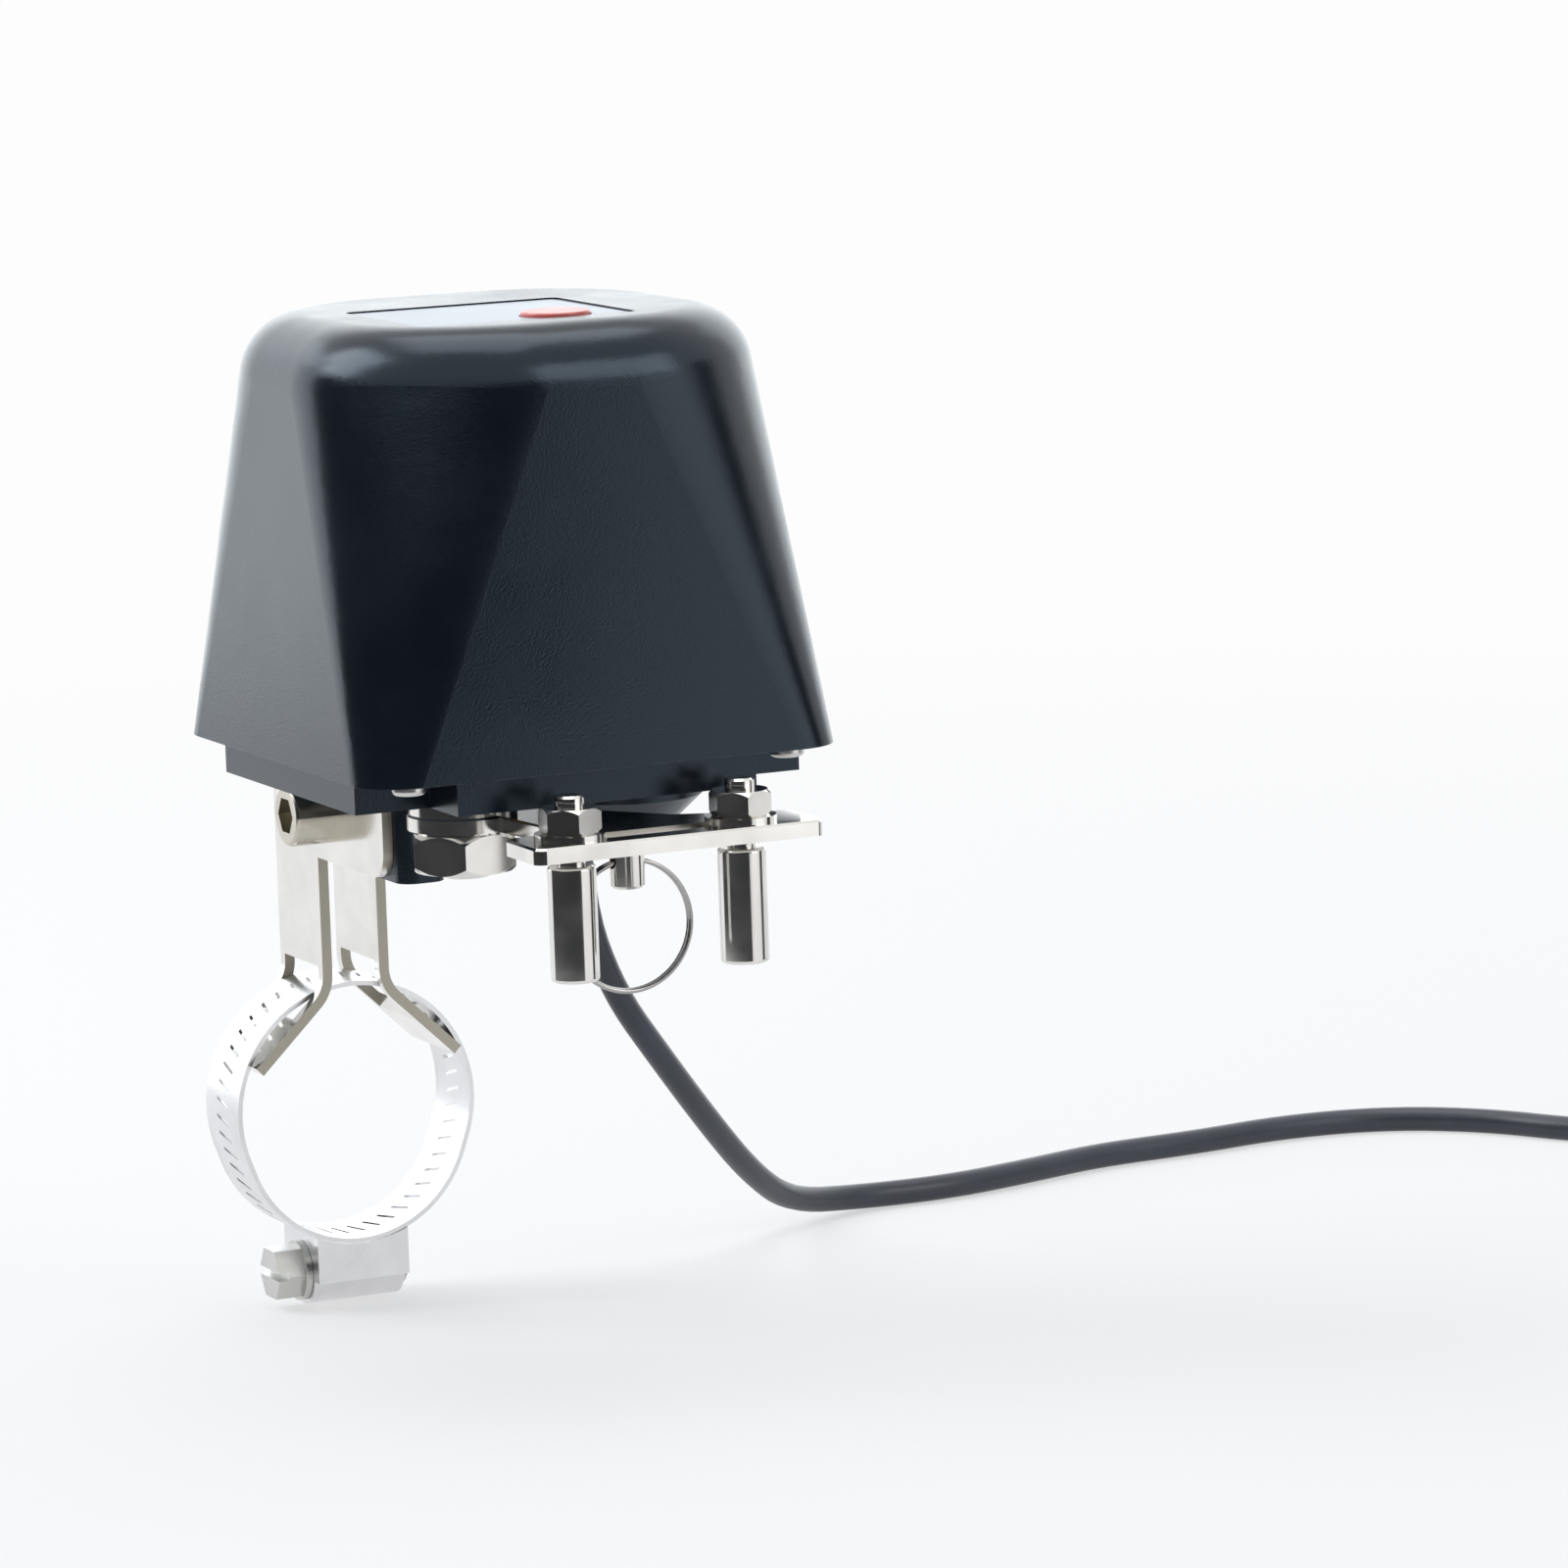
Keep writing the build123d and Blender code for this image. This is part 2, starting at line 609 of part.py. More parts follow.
def output_shaft():
    """The stepped output shaft, flatted and threaded below the base."""
    shoulder = DECK_Z - SHOULDER_GAP
    body = disc(SHAFT_R, -SHAFT_TAIL, shoulder) + disc(SHAFT_UPPER_R, shoulder, CAM_Z + CAM_T + SHAFT_END)
    body = chamfer(body.faces().sort_by(Axis.Z)[0].edges(), SHAFT_END)
    for side in (-1, 1):
        far = SHAFT_R + 1
        near = SHAFT_FLAT / 2
        body -= Pos(0, side * (near + far) / 2, 0) * slab(-far, far, (near - far) / 2, (far - near) / 2,
                                                          -SHAFT_TAIL, -ARM_TOP + HOLE_PLAY)
    return SHAFT * body


def switch_cam():
    """The cam that presses the limit switches."""
    nose_x = CAM_LOBE_R - CAM_NOSE_R
    lobe = Pos(nose_x, 0, 0) * disc(CAM_NOSE_R, CAM_Z, CAM_Z + CAM_T)
    bridge = slab(0, nose_x, -CAM_NOSE_R, CAM_NOSE_R, CAM_Z, CAM_Z + CAM_T)
    body = disc(CAM_R, CAM_Z, CAM_Z + CAM_T) + lobe + bridge
    return SHAFT * (body - disc(SHAFT_UPPER_R, CAM_Z, CAM_Z + CAM_T))


def limit_switches():
    """Two switches on the deck, one at each end of the cam's quarter turn."""
    low = DECK_TOP
    high = CAM_Z + CAM_T + LIMIT_ABOVE
    near = CAM_LOBE_R + LIMIT_GAP
    half = LIMIT_L / 2
    ahead = SHAFT * slab(near, near + LIMIT_W, -half, half, low, high)
    aside = SHAFT * slab(-half, half, -near - LIMIT_W, -near, low, high)
    return [ahead, aside]


def deck():
    """The steel plate that carries the motor and the upper shaft bush."""
    plate = Pos(DECK_SHIFT, DECK_SHIFT, DECK_Z) * extrude(RectangleRounded(DECK_X, DECK_Y, DECK_R), DECK_T)
    solid = HOUSE * plate - SHAFT * disc(SHAFT_UPPER_R + UPPER_BUSH_WALL, DECK_Z, DECK_TOP)
    solid -= PIN * disc(PIN_AXLE_R + PIN_AXLE_PLAY, DECK_Z, DECK_TOP)
    solid -= MOTOR * disc(MOTOR_SHAFT_R + PIN_AXLE_PLAY, DECK_Z, DECK_TOP)
    screw_hole = disc(MOTOR_SCREW_R + PIN_AXLE_PLAY, DECK_Z, DECK_TOP)
    for side in (-1, 1):
        solid -= MOTOR * Pos(0, side * MOTOR_SCREW_OFFSET, 0) * screw_hole
    for x, y in PILLARS:
        solid -= HOUSE * Pos(x, y, 0) * disc(SCREW_R + HOLE_PLAY, DECK_Z, DECK_TOP)
    return solid


def pillars():
    """Three pillars between the base and the deck."""
    return [HOUSE * Pos(x, y, 0) * tube(PILLAR_R, SCREW_R, FLANGE_T, DECK_Z) for x, y in PILLARS]


def deck_screws():
    """Three screws down through the deck into the pillars."""
    screw = Rot(X=180) * pan_screw(SCREW_R - RUN, DECK_T + DECK_SCREW_BITE, SCREW_HEAD_R, SCREW_HEAD_H)
    return [HOUSE * Pos(x, y, DECK_TOP) * screw for x, y in PILLARS]


def motor_head():
    """The gear head of the motor, with its shaft hole and two screw holes."""
    hole_top = DECK_TOP + MOTOR_HOLE_DEPTH
    body = disc(MOTOR_HEAD_R, DECK_TOP, DECK_TOP + MOTOR_HEAD_H)
    body -= disc(MOTOR_SHAFT_R + RUN, DECK_TOP, hole_top)
    for side in (-1, 1):
        body -= Pos(0, side * MOTOR_SCREW_OFFSET, 0) * disc(MOTOR_SCREW_R + HOLE_PLAY, DECK_TOP, hole_top)
    return MOTOR * body


def motor_can():
    """The motor's round can with its rear bearing boss."""
    low = DECK_TOP + MOTOR_HEAD_H
    high = low + MOTOR_CAN_H
    body = fillet(top_edges(disc(MOTOR_CAN_R, low, high)), MOTOR_CAN_ROUND)
    return MOTOR * (body + disc(MOTOR_REAR_R, high, high + MOTOR_REAR_H))


def motor_screws():
    """Two screws up through the deck into the gear head."""
    screw = pan_screw(MOTOR_SCREW_R, DECK_T + MOTOR_SCREW_BITE, MOTOR_SCREW_HEAD_R, MOTOR_SCREW_HEAD_H)
    return [MOTOR * Pos(0, side * MOTOR_SCREW_OFFSET, DECK_Z) * screw for side in (-1, 1)]


def upper_bush():
    """The plain bush of the output shaft in the deck."""
    outer_r = SHAFT_UPPER_R + UPPER_BUSH_WALL
    return SHAFT * tube(outer_r, SHAFT_UPPER_R + RUN, DECK_Z, DECK_TOP + UPPER_BUSH_RISE)


def shaft_bush():
    """The flanged bush of the output shaft in the base."""
    body = disc(BUSH_R, -PAD_H, BUSH_TOP) + disc(BUSH_FLANGE_R, -PAD_H - BUSH_FLANGE_T, -PAD_H)
    return SHAFT * (body - disc(SHAFT_R + RUN, -PAD_H - BUSH_FLANGE_T, BUSH_TOP))


def shaft_seal():
    """The rubber ring above the lower bush."""
    return SHAFT * tube(BUSH_R, SHAFT_R + RUN, BUSH_TOP, BUSH_TOP + SEAL_T)


def arm_washer():
    """The washer between the arm and the lower bush."""
    top = -PAD_H - BUSH_FLANGE_T - ARM_WASHER_GAP
    return SHAFT * tube(BUSH_FLANGE_R, SHAFT_R + RUN, -ARM_TOP, top)


def flatted_bore(r, flat, z0, z1):
    """The bore of a shaft with two flats."""
    return disc(r, z0, z1) & slab(-r, r, -flat / 2, flat / 2, z0, z1)


def arm_plate():
    """The flat arm: round end on the shaft, neck, gusset and crossbar with its long slot."""
    back = BAR_BACK - SHAFT_X
    round_end = Circle(ARM_END_R)
    neck = make_face(Polyline((ARM_END_R * 0.8, NECK_LEFT), (back + 1, NECK_LEFT_END),
                              (back + 1, GUSSET_END_Y), (back, GUSSET_END_Y),
                              (GUSSET_X - SHAFT_X, GUSSET_Y), (0, ARM_END_R), (0, NECK_LEFT), close=True))
    bar = Pos(BAR_CENTRE - SHAFT_X, BAR_LEFT + BAR_L / 2, 0) * RectangleRounded(BAR_W, BAR_L, BAR_R)
    plate = extrude(round_end + neck + bar, ARM_T)
    plate = chamfer(top_edges(plate), EDGE_BREAK)
    half = POST_STUD_R + SLOT_GAP
    slot_x = BAR_CENTRE - SHAFT_X
    slot_y0 = POST_LEFT - POST_SHIFT
    slot_y1 = POST_LEFT + POST_GAP + POST_SHIFT
    plate -= slab(slot_x - half, slot_x + half, slot_y0, slot_y1, 0, ARM_T)
    for y in (slot_y0, slot_y1):
        plate -= Pos(slot_x, y, 0) * disc(half, 0, ARM_T)
    plate -= flatted_bore(SHAFT_R + RUN, SHAFT_FLAT + 2 * RUN, 0, ARM_T)
    return SHAFT * Pos(0, 0, -ARM_BOTTOM) * plate


def arm_nut():
    """The large nut under the arm, with the raised face that bears on it."""
    face = -ARM_BOTTOM - ARM_NUT_FACE_T
    nut = chamfered_nut(ARM_NUT_AF, SHAFT_R, face - ARM_NUT_H, face)
    return SHAFT * Rot(Z=ARM_NUT_TURN) * (nut + tube(ARM_NUT_FACE_R, SHAFT_R, face, -ARM_BOTTOM))


def post_place(index):
    """The place of a post on the crossbar, with heights from the cover's rim."""
    return Pos(BAR_CENTRE, POST_LEFT + index * POST_GAP, HOUSE_Z)


def finger_post(index):
    """A round post below the crossbar with a neck, a thin collar and a stud through the slot."""
    low = -ARM_BOTTOM - POST_L
    collar = -ARM_BOTTOM - POST_COLLAR_H
    neck = collar - POST_NECK_H
    stud_top = -ARM_TOP + POST_WASHER_T + POST_NUT_H + POST_STUB
    body = disc(POST_R, low, neck)
    body = fillet(body.edges().filter_by(GeomType.CIRCLE), POST_ROUND)
    stud = disc(POST_STUD_R, -ARM_BOTTOM, stud_top)
    stud = chamfer(top_edges(stud), EDGE_BREAK)
    body += disc(POST_NECK_R, neck, collar) + disc(POST_R, collar, -ARM_BOTTOM)
    return post_place(index) * (body + stud)


def post_washer(index):
    """The washer on the crossbar."""
    top = -ARM_TOP + POST_WASHER_T
    return post_place(index) * tube(POST_WASHER_R, POST_STUD_R + HOLE_PLAY, -ARM_TOP, top)


def post_nut(index):
    """The nut on a post's stud."""
    low = -ARM_TOP + POST_WASHER_T
    nut = chamfered_nut(POST_NUT_AF, POST_STUD_R, low, low + POST_NUT_H)
    return post_place(index) * Rot(Z=POST_NUT_TURNS[index]) * nut


def pin_housing():
    """The bell-shaped boss under the base that holds the pin's spring."""
    bell = turned([(0, -PAD_H), (BELL_R, -PAD_H), (BELL_R, -BELL_RIM), (BELL_SHOULDER_R, -BELL_SHOULDER),
                   (BELL_TIP_R, -BELL_TIP), (0, -BELL_TIP)])
    bell += disc(BELL_BORE_R + BELL_NECK_WALL, -PAD_H, POCKET_Z - BELL_NECK_GAP)
    bell -= disc(BELL_BORE_R, -BELL_FLOOR, POCKET_Z)
    bell -= disc(GUIDE_R, -BELL_TIP, -GUIDE_TOP)
    return PIN * (bell - disc(PIN_R + RUN, -GUIDE_TOP, -BELL_FLOOR))


def pin_guide():
    """The metal guide at the tip of the pin housing."""
    body = tube(GUIDE_R, PIN_R + RUN, -GUIDE_TIP, -GUIDE_TOP)
    return PIN * body


def pull_pin():
    """The pull pin: grip end with a cross hole, spring collar, and the axle of the clutch gear."""
    collar = -(PIN_COLLAR_T - PIN_COLLAR_TOP)
    grip = disc(PIN_R, -PIN_TIP, collar)
    grip = chamfer(grip.faces().sort_by(Axis.Z)[0].edges(), PIN_TIP_BREAK)
    axle = disc(PIN_AXLE_R, PIN_COLLAR_TOP, DECK_TOP + PIN_AXLE_END)
    body = grip + disc(PIN_COLLAR_R, collar, PIN_COLLAR_TOP) + axle
    hole = Pos(0, 0, -RING_HOLE) * Rot(X=-90) * disc(RING_HOLE_R, -PIN_R, PIN_R)
    return PIN * (body - hole)


def pin_clip():
    """The clip that keeps the clutch gear on the pin."""
    low = GEAR_Z + GEAR_T + RUN
    return PIN * tube(PIN_AXLE_R + CLIP_W, PIN_AXLE_R, low, low + CLIP_T)


def pin_spring():
    """The spring that holds the clutch in mesh."""
    collar = -(PIN_COLLAR_T - PIN_COLLAR_TOP)
    return PIN * spring(SPRING_R, SPRING_WIRE_R, -BELL_FLOOR + RUN, collar - RUN, SPRING_TURNS)


def key_ring():
    """The split ring through the pin, two turns side by side."""
    wire = Circle(RING_WIRE_R)
    ring = revolve(Pos(RING_R, RING_STEP, 0) * wire + Pos(RING_R, -RING_STEP, 0) * wire, Axis.Y)
    return PIN * Pos(0, 0, -RING_HOLE - RING_R) * Rot(Z=90) * ring


def loop_outline(grow):
    """The clamp's loop in the YZ plane: a lower arc on the pipe and an upper arc over the feet."""
    low_r = PIPE_R + grow
    high_r = BAND_TOP_R + grow
    dip = (BAND_TOP_R - PIPE_R) / BAND_RISE
    reach = math.sqrt(1 - dip * dip)
    low_left = (-low_r * reach, -low_r * dip)
    low_right = (low_r * reach, -low_r * dip)
    high_left = (-high_r * reach, BAND_RISE - high_r * dip)
    high_right = (high_r * reach, BAND_RISE - high_r * dip)
    edges = [ThreePointArc(low_left, (0, -low_r), low_right), Line(low_right, high_right),
             ThreePointArc(high_right, (0, BAND_RISE + high_r), high_left), Line(high_left, low_left)]
    return make_face(edges)


def clamp_band():
    """The hose clamp's closed band."""
    loop = loop_outline(BAND_T) - loop_outline(0)
    return extrude(Plane.YZ * loop, BAND_W / 2, both=True)


def worm_housing():
    """The saddle under the band that holds the worm screw."""
    half_w = WORM_HOUSING_W / 2
    half_l = WORM_HOUSING_L / 2
    outer_r = WORM_R + RUN + WORM_HOUSING_T
    saddle = slab(-half_w, half_w, -half_l, half_l, WORM_Z - outer_r * 0.2, WORM_SADDLE - PIPE_R)
    saddle += WORM * disc(outer_r, -half_l, half_l)
    saddle -= extrude(Plane.YZ * loop_outline(BAND_T), half_w + 1, both=True)
    return saddle - WORM * disc(WORM_R + RUN, -half_l, half_l)


def worm_screw():
    """The worm screw: core, collars and a slotted hexagon head."""
    half_l = WORM_HOUSING_L / 2
    head_low = -half_l - RUN - WORM_HEAD_H
    body = disc(WORM_R, -half_l - RUN, half_l + WORM_END)
    head = hexagon(WORM_HEAD_AF, head_low, -half_l - RUN)
    washer = disc(WORM_WASHER_R, -half_l - RUN - WORM_WASHER_T, -half_l - RUN)
    half_slot = WORM_SLOT_W / 2
    slot = slab(-WORM_HEAD_AF, WORM_HEAD_AF, -half_slot, half_slot, head_low, head_low + WORM_SLOT_DEPTH)
    return WORM * (body + head + washer - slot)


def bracket_plate(side):
    """One bracket plate: flag-shaped ear, windowed leg and a foot that lies on the pipe."""
    normal = (math.cos(FOOT_TURN), math.sin(FOOT_TURN))
    along = (math.sin(FOOT_TURN), -math.cos(FOOT_TURN))
    inner_y = LEG_GAP / 2
    outer_y = inner_y + SHEET_T
    top = HOUSE_Z - PAD_H - EAR_DROP

    def foot_point(r, reach):
        return (r * normal[0] + reach * along[0], r * normal[1] + reach * along[1])

    def bend_point(y, r):
        return (y, (r - y * normal[0]) / normal[1])

    outer_bend = bend_point(outer_y, FOOT_OUTER_R)
    inner_bend = bend_point(inner_y, PIPE_R)
    section = make_face(Polyline((inner_y, top), (outer_y, top), outer_bend,
                                 foot_point(FOOT_OUTER_R, FOOT_REACH), foot_point(PIPE_R, FOOT_REACH),
                                 inner_bend, close=True))
    leg = extrude(Plane.YZ * section, LEG_W / 2, both=True)
    for bend, radius in ((outer_bend, BEND_R), (inner_bend, BEND_R + SHEET_T)):
        edge = leg.edges().filter_by(Axis.X).sort_by_distance((0, bend[0], bend[1]))[0]
        leg = fillet(edge, radius)
    ear_points = [(0, top), (EAR_FRONT - EAR_CHAMFER_X, top), (EAR_FRONT, top - EAR_CHAMFER_Z),
                  (EAR_FRONT, top - EAR_H), (0, top - EAR_H)]
    ear = extrude(Plane.XZ * make_face(Polyline(*ear_points, close=True)), -SHEET_T)
    ear = Pos(0, inner_y, 0) * ear
    low_corner = ear.edges().filter_by(Axis.Y).filter_by(
        lambda e: e.center().X > EAR_FRONT - 0.01 and e.center().Z < top - EAR_H + 0.01)
    ear = fillet(low_corner, EAR_R)
    window = slab(-WINDOW_W / 2, WINDOW_W / 2, 0, FOOT_END_Y - WINDOW_SILL, 0, outer_bend[1] + WINDOW_RISE)
    plate = leg + ear - window
    plate -= BOLT * disc(BOLT_R + RUN, -outer_y, outer_y)
    return plate if side > 0 else plate.mirror(Plane.XZ)


def pivot_bolt():
    """The socket-head bolt through both plates and the lug."""
    outer_y = LEG_GAP / 2 + SHEET_T
    head = disc(BOLT_HEAD_R, -outer_y - BOLT_HEAD_H, -outer_y)
    head = fillet(head.faces().sort_by(Axis.Z)[0].edges(), SHAFT_END)
    head -= hexagon(BOLT_SOCKET_AF, -outer_y - BOLT_HEAD_H, -outer_y - BOLT_HEAD_H / 2)
    shank = disc(BOLT_R, -outer_y, outer_y + WASHER5_T + NUT5_H + BOLT_END)
    return BOLT * (head + shank)


def pivot_washer():
    """The washer behind the bolt."""
    outer_y = LEG_GAP / 2 + SHEET_T
    return BOLT * tube(WASHER5_R, BOLT_R + HOLE_PLAY, outer_y, outer_y + WASHER5_T)


def pivot_nut():
    """The nut behind the bolt."""
    low = LEG_GAP / 2 + SHEET_T + WASHER5_T
    return BOLT * chamfered_nut(NUT5_AF, BOLT_R, low, low + NUT5_H)


def cable_gland():
    """The strain relief under the base, tapered toward the cord."""
    low = -PAD_H - GLAND_H
    sleeve_r = CORD_R + GLAND_SLEEVE_T
    body = turned([(0, -PAD_H), (GLAND_R, -PAD_H), (GLAND_R, -PAD_H - GLAND_H * GLAND_SHOULDER),
                   (sleeve_r, low), (0, low)])
    return GLAND * (body + disc(sleeve_r, -PAD_H, FLANGE_T))


# The cord lies with its lowest line on the table, then winds into a coil of two layers
CORD_Z = TABLE_Z + CORD_R
LAYER = 2 * CORD_R + COIL_LAYER_GAP
STEP = (2 * CORD_R + COIL_SIDE_GAP) / 2
heading = math.radians(COIL_HEADING)
FORWARD = Vector(math.cos(heading), math.sin(heading), 0)
COIL = Pos(COIL_X, COIL_Y, 0) * Rot(Z=COIL_HEADING - 90)


def coil_points():
    """The ends of the coil's half turns: inward in the lower layer, outward in the upper one."""
    points = [((-1) ** k * (COIL_R - k * STEP), 0, CORD_Z) for k in range(COIL_HALF_TURNS + 1)]
    inner = COIL_R - COIL_HALF_TURNS * STEP
    for k in range(COIL_HALF_TURNS + 2):
        sign = (-1) ** (COIL_HALF_TURNS + 1 + k)
        points.append((sign * (inner + k * STEP), 0, CORD_Z + LAYER))
    return points


COIL_ENDS = coil_points()
CORD_END = COIL_ENDS[0]
TAIL_START = COIL_ENDS[-1]
LEAD = 2 * CORD_R


def coil_path():
    """The coil's centre line with a short straight end at each side."""
    first = Line((CORD_END[0], -LEAD, CORD_END[2]), CORD_END)
    last = Line(TAIL_START, (TAIL_START[0], LEAD, TAIL_START[2]))
    return Wire([first] + chain(COIL_ENDS, 1) + [last])


def least_gap(path, skip):
    """The least distance of a path's surface to itself, past a stretch along it."""
    count = int(path.length / 2)
    spots = [path.position_at(k / count) for k in range(count + 1)]
    apart = int(skip / 2)
    return min((spots[i] - spots[j]).length for i in range(count + 1)
               for j in range(i + apart, count + 1)) - 2 * CORD_R


def cord_coil():
    """The put-away length of the cord."""
    path = coil_path()
    print("coil length", round(path.length, 1), "least gap", round(least_gap(path, 4 * LEAD), 2))
    start = Plane(origin=(CORD_END[0], -LEAD, CORD_END[2]), z_dir=(0, 1, 0))
    return COIL * sweep(start * Circle(CORD_R), path=path)


def to_world(x, y, z):
    """A point of the coil's own frame in the part's frame."""
    place = COIL * Pos(x, y, z)
    return (place.position.X, place.position.Y, place.position.Z)


ENTRY = to_world(CORD_END[0], -LEAD, CORD_Z)
BEFORE_ENTRY = to_world(CORD_END[0], -LEAD - 15, CORD_Z)
CORD_ROUTE = [
    (GLAND_X, GLAND_Y, HOUSE_Z - PAD_H - GLAND_H),
    (GLAND_X, GLAND_Y, 32.0),
    (20.5, 34.5, 18.0),
    (16.5, 43.5, 6.5),
    (10.0, 53.5, -5.0),
    (1.5, 64.0, -15.5),
    (-8.5, 75.0, -23.0),
    (-14.5, 89.0, CORD_Z),
    (-13.5, 104.0, CORD_Z),
    (-17.0, 119.0, CORD_Z),
    (-21.5, 134.0, CORD_Z),
    (-21.8, 151.0, CORD_Z),
    (-24.5, 168.0, CORD_Z),
    (-21.5, 185.0, CORD_Z),
    (-11.0, 197.5, CORD_Z),
    (3.5, 205.0, CORD_Z),
    BEFORE_ENTRY,
    ENTRY,
]


def rounded_path(points):
    """Straight runs joined by tangent arcs as large as the runs allow."""
    radii = []
    for before, here, after in zip(points, points[1:], points[2:]):
        first = Vector(*here) - Vector(*before)
        second = Vector(*after) - Vector(*here)
        turn = math.radians(first.get_angle(second))
        radii.append(0.45 * min(first.length, second.length) / math.tan(turn / 2))
    print("cord radii", [round(radius, 1) for radius in radii])
    return FilletPolyline(*points, radius=radii)


def cord_tube(name, points):
    """The cord's solid along a route."""
    path = rounded_path(points)
    direction = Vector(*points[1]) - Vector(*points[0])
    solid = sweep(Plane(origin=points[0], z_dir=direction) * Circle(CORD_R), path=path)
    expected = math.pi * CORD_R ** 2 * path.length
    print(name, "length", round(path.length, 1), "volume ratio", round(solid.volume / expected, 4))
    return solid


TAIL_ROUTE = [
    to_world(TAIL_START[0], LEAD, TAIL_START[2]),
    to_world(TAIL_START[0], LEAD + 12, TAIL_START[2]),
    to_world(TAIL_START[0] + 3, LEAD + 26, TAIL_START[2] - 0.3),
    to_world(TAIL_START[0] + 9, LEAD + 40, TABLE_Z + PLUG_R),
    to_world(TAIL_START[0] + 18, LEAD + 52, TABLE_Z + PLUG_R),
]
PLUG_AXIS = Vector(*TAIL_ROUTE[-1]) - Vector(*TAIL_ROUTE[-2])
PLUG = Plane(origin=TAIL_ROUTE[-1], z_dir=PLUG_AXIS).location


def plug_body():
    """The moulded grip of the plug with its tapered strain relief."""
    body = turned([(0, 0), (CORD_R + PLUG_NECK_T, 0), (CORD_R + PLUG_NECK_END_T, PLUG_NECK_L),
                   (PLUG_R, PLUG_NECK_L + PLUG_SHOULDER_L), (PLUG_R, PLUG_L), (0, PLUG_L)])
    return PLUG * fillet(top_edges(body), PLUG_ROUND)


def plug_barrel():
    """The hollow metal barrel of the plug."""
    body = tube(BARREL_R, BARREL_BORE_R, PLUG_L, PLUG_L + BARREL_L)
    return PLUG * chamfer(top_edges(body), EDGE_BREAK)


NODES = {
    "cover": cover(),
    "base": base(),
    "base_gasket": gasket(),
    "cover_screws": cover_screws(),
    "label_panel": label_panel(),
    "push_button": button(),
    "button_spring": button_spring(),
    "button_switch": button_switch(),
    "main_board": main_board(),
    "board_screws": board_screws(),
    "board_parts": board_parts(),
    "gearbox_deck": deck(),
    "deck_pillars": pillars(),
    "deck_screws": deck_screws(),
    "motor_head": motor_head(),
    "motor_can": motor_can(),
    "motor_screws": motor_screws(),
    "motor_pinion": motor_pinion(),
    "clutch_gear": clutch_gear(),
    "output_gear": output_gear(),
    "output_shaft": output_shaft(),
    "switch_cam": switch_cam(),
    "limit_switches": limit_switches(),
    "upper_bush": upper_bush(),
    "shaft_bush": shaft_bush(),
    "shaft_seal": shaft_seal(),
    "arm_washer": arm_washer(),
    "arm_plate": arm_plate(),
    "arm_nut": arm_nut(),
    "pin_housing": pin_housing(),
    "pin_guide": pin_guide(),
    "pull_pin": pull_pin(),
    "pin_clip": pin_clip(),
    "pin_spring": pin_spring(),
    "key_ring": key_ring(),
    "clamp_band": clamp_band(),
    "worm_housing": worm_housing(),
    "worm_screw": worm_screw(),
    "bracket_right": bracket_plate(1),
    "bracket_left": bracket_plate(-1),
    "pivot_bolt": pivot_bolt(),
    "pivot_washer": pivot_washer(),
    "pivot_nut": pivot_nut(),
    "cable_gland": cable_gland(),
    "cord": cord_tube("cord", CORD_ROUTE),
    "cord_coil": cord_coil(),
    "cord_tail": cord_tube("cord_tail", TAIL_ROUTE),
    "plug_body": plug_body(),
    "plug_barrel": plug_barrel(),
}
for index, side in enumerate(("left", "right")):
    NODES["finger_post_" + side] = finger_post(index)
    NODES["post_washer_" + side] = post_washer(index)
    NODES["post_nut_" + side] = post_nut(index)

for name, shape in NODES.items():
    solid = Compound(children=shape) if isinstance(shape, list) else shape
    export_step(solid, os.path.join("parts", name + ".step"))
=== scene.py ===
"""Dresses the packed valve actuator: finishes, slotted band, threads, springs, cord and stage."""

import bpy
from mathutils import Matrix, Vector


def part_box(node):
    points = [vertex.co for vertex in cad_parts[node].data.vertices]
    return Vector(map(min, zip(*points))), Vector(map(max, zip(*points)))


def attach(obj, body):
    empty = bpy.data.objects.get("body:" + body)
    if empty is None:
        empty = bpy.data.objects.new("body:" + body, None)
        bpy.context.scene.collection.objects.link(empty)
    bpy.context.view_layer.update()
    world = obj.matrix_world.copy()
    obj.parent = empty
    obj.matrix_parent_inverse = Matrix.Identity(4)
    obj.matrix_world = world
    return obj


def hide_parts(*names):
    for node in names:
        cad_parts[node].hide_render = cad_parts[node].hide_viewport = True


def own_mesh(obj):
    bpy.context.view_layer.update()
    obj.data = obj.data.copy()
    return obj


bl_info = {
    "name": "Valve Actuator Looks",
    "version": (1, 0, 0),
    "blender": (4, 5, 0),
    "location": "3D View > Sidebar > Actuator",
    "description": "Finishes, clamp band, threads, springs, supply cord and stage of the valve actuator",
    "category": "Object",
}

import math

import bpy
from bpy.props import FloatProperty, FloatVectorProperty, IntProperty, PointerProperty
from mathutils import Matrix, Vector

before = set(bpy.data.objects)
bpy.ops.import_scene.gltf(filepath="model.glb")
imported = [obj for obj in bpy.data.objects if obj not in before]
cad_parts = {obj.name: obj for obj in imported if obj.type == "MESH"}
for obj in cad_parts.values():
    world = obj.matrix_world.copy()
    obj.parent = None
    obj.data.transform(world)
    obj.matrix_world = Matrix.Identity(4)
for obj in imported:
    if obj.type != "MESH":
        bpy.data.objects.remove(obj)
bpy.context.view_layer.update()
MM = 0.001
MICRON = 0.001 * MM
CORD_RADIUS = 1.9 * MM


def box_size(node):
    """The size of a frame node along each axis, in metres."""
    low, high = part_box(node)
    return high - low


def box_middle(node):
    """The middle of a frame node's box."""
    low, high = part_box(node)
    return (low + high) / 2


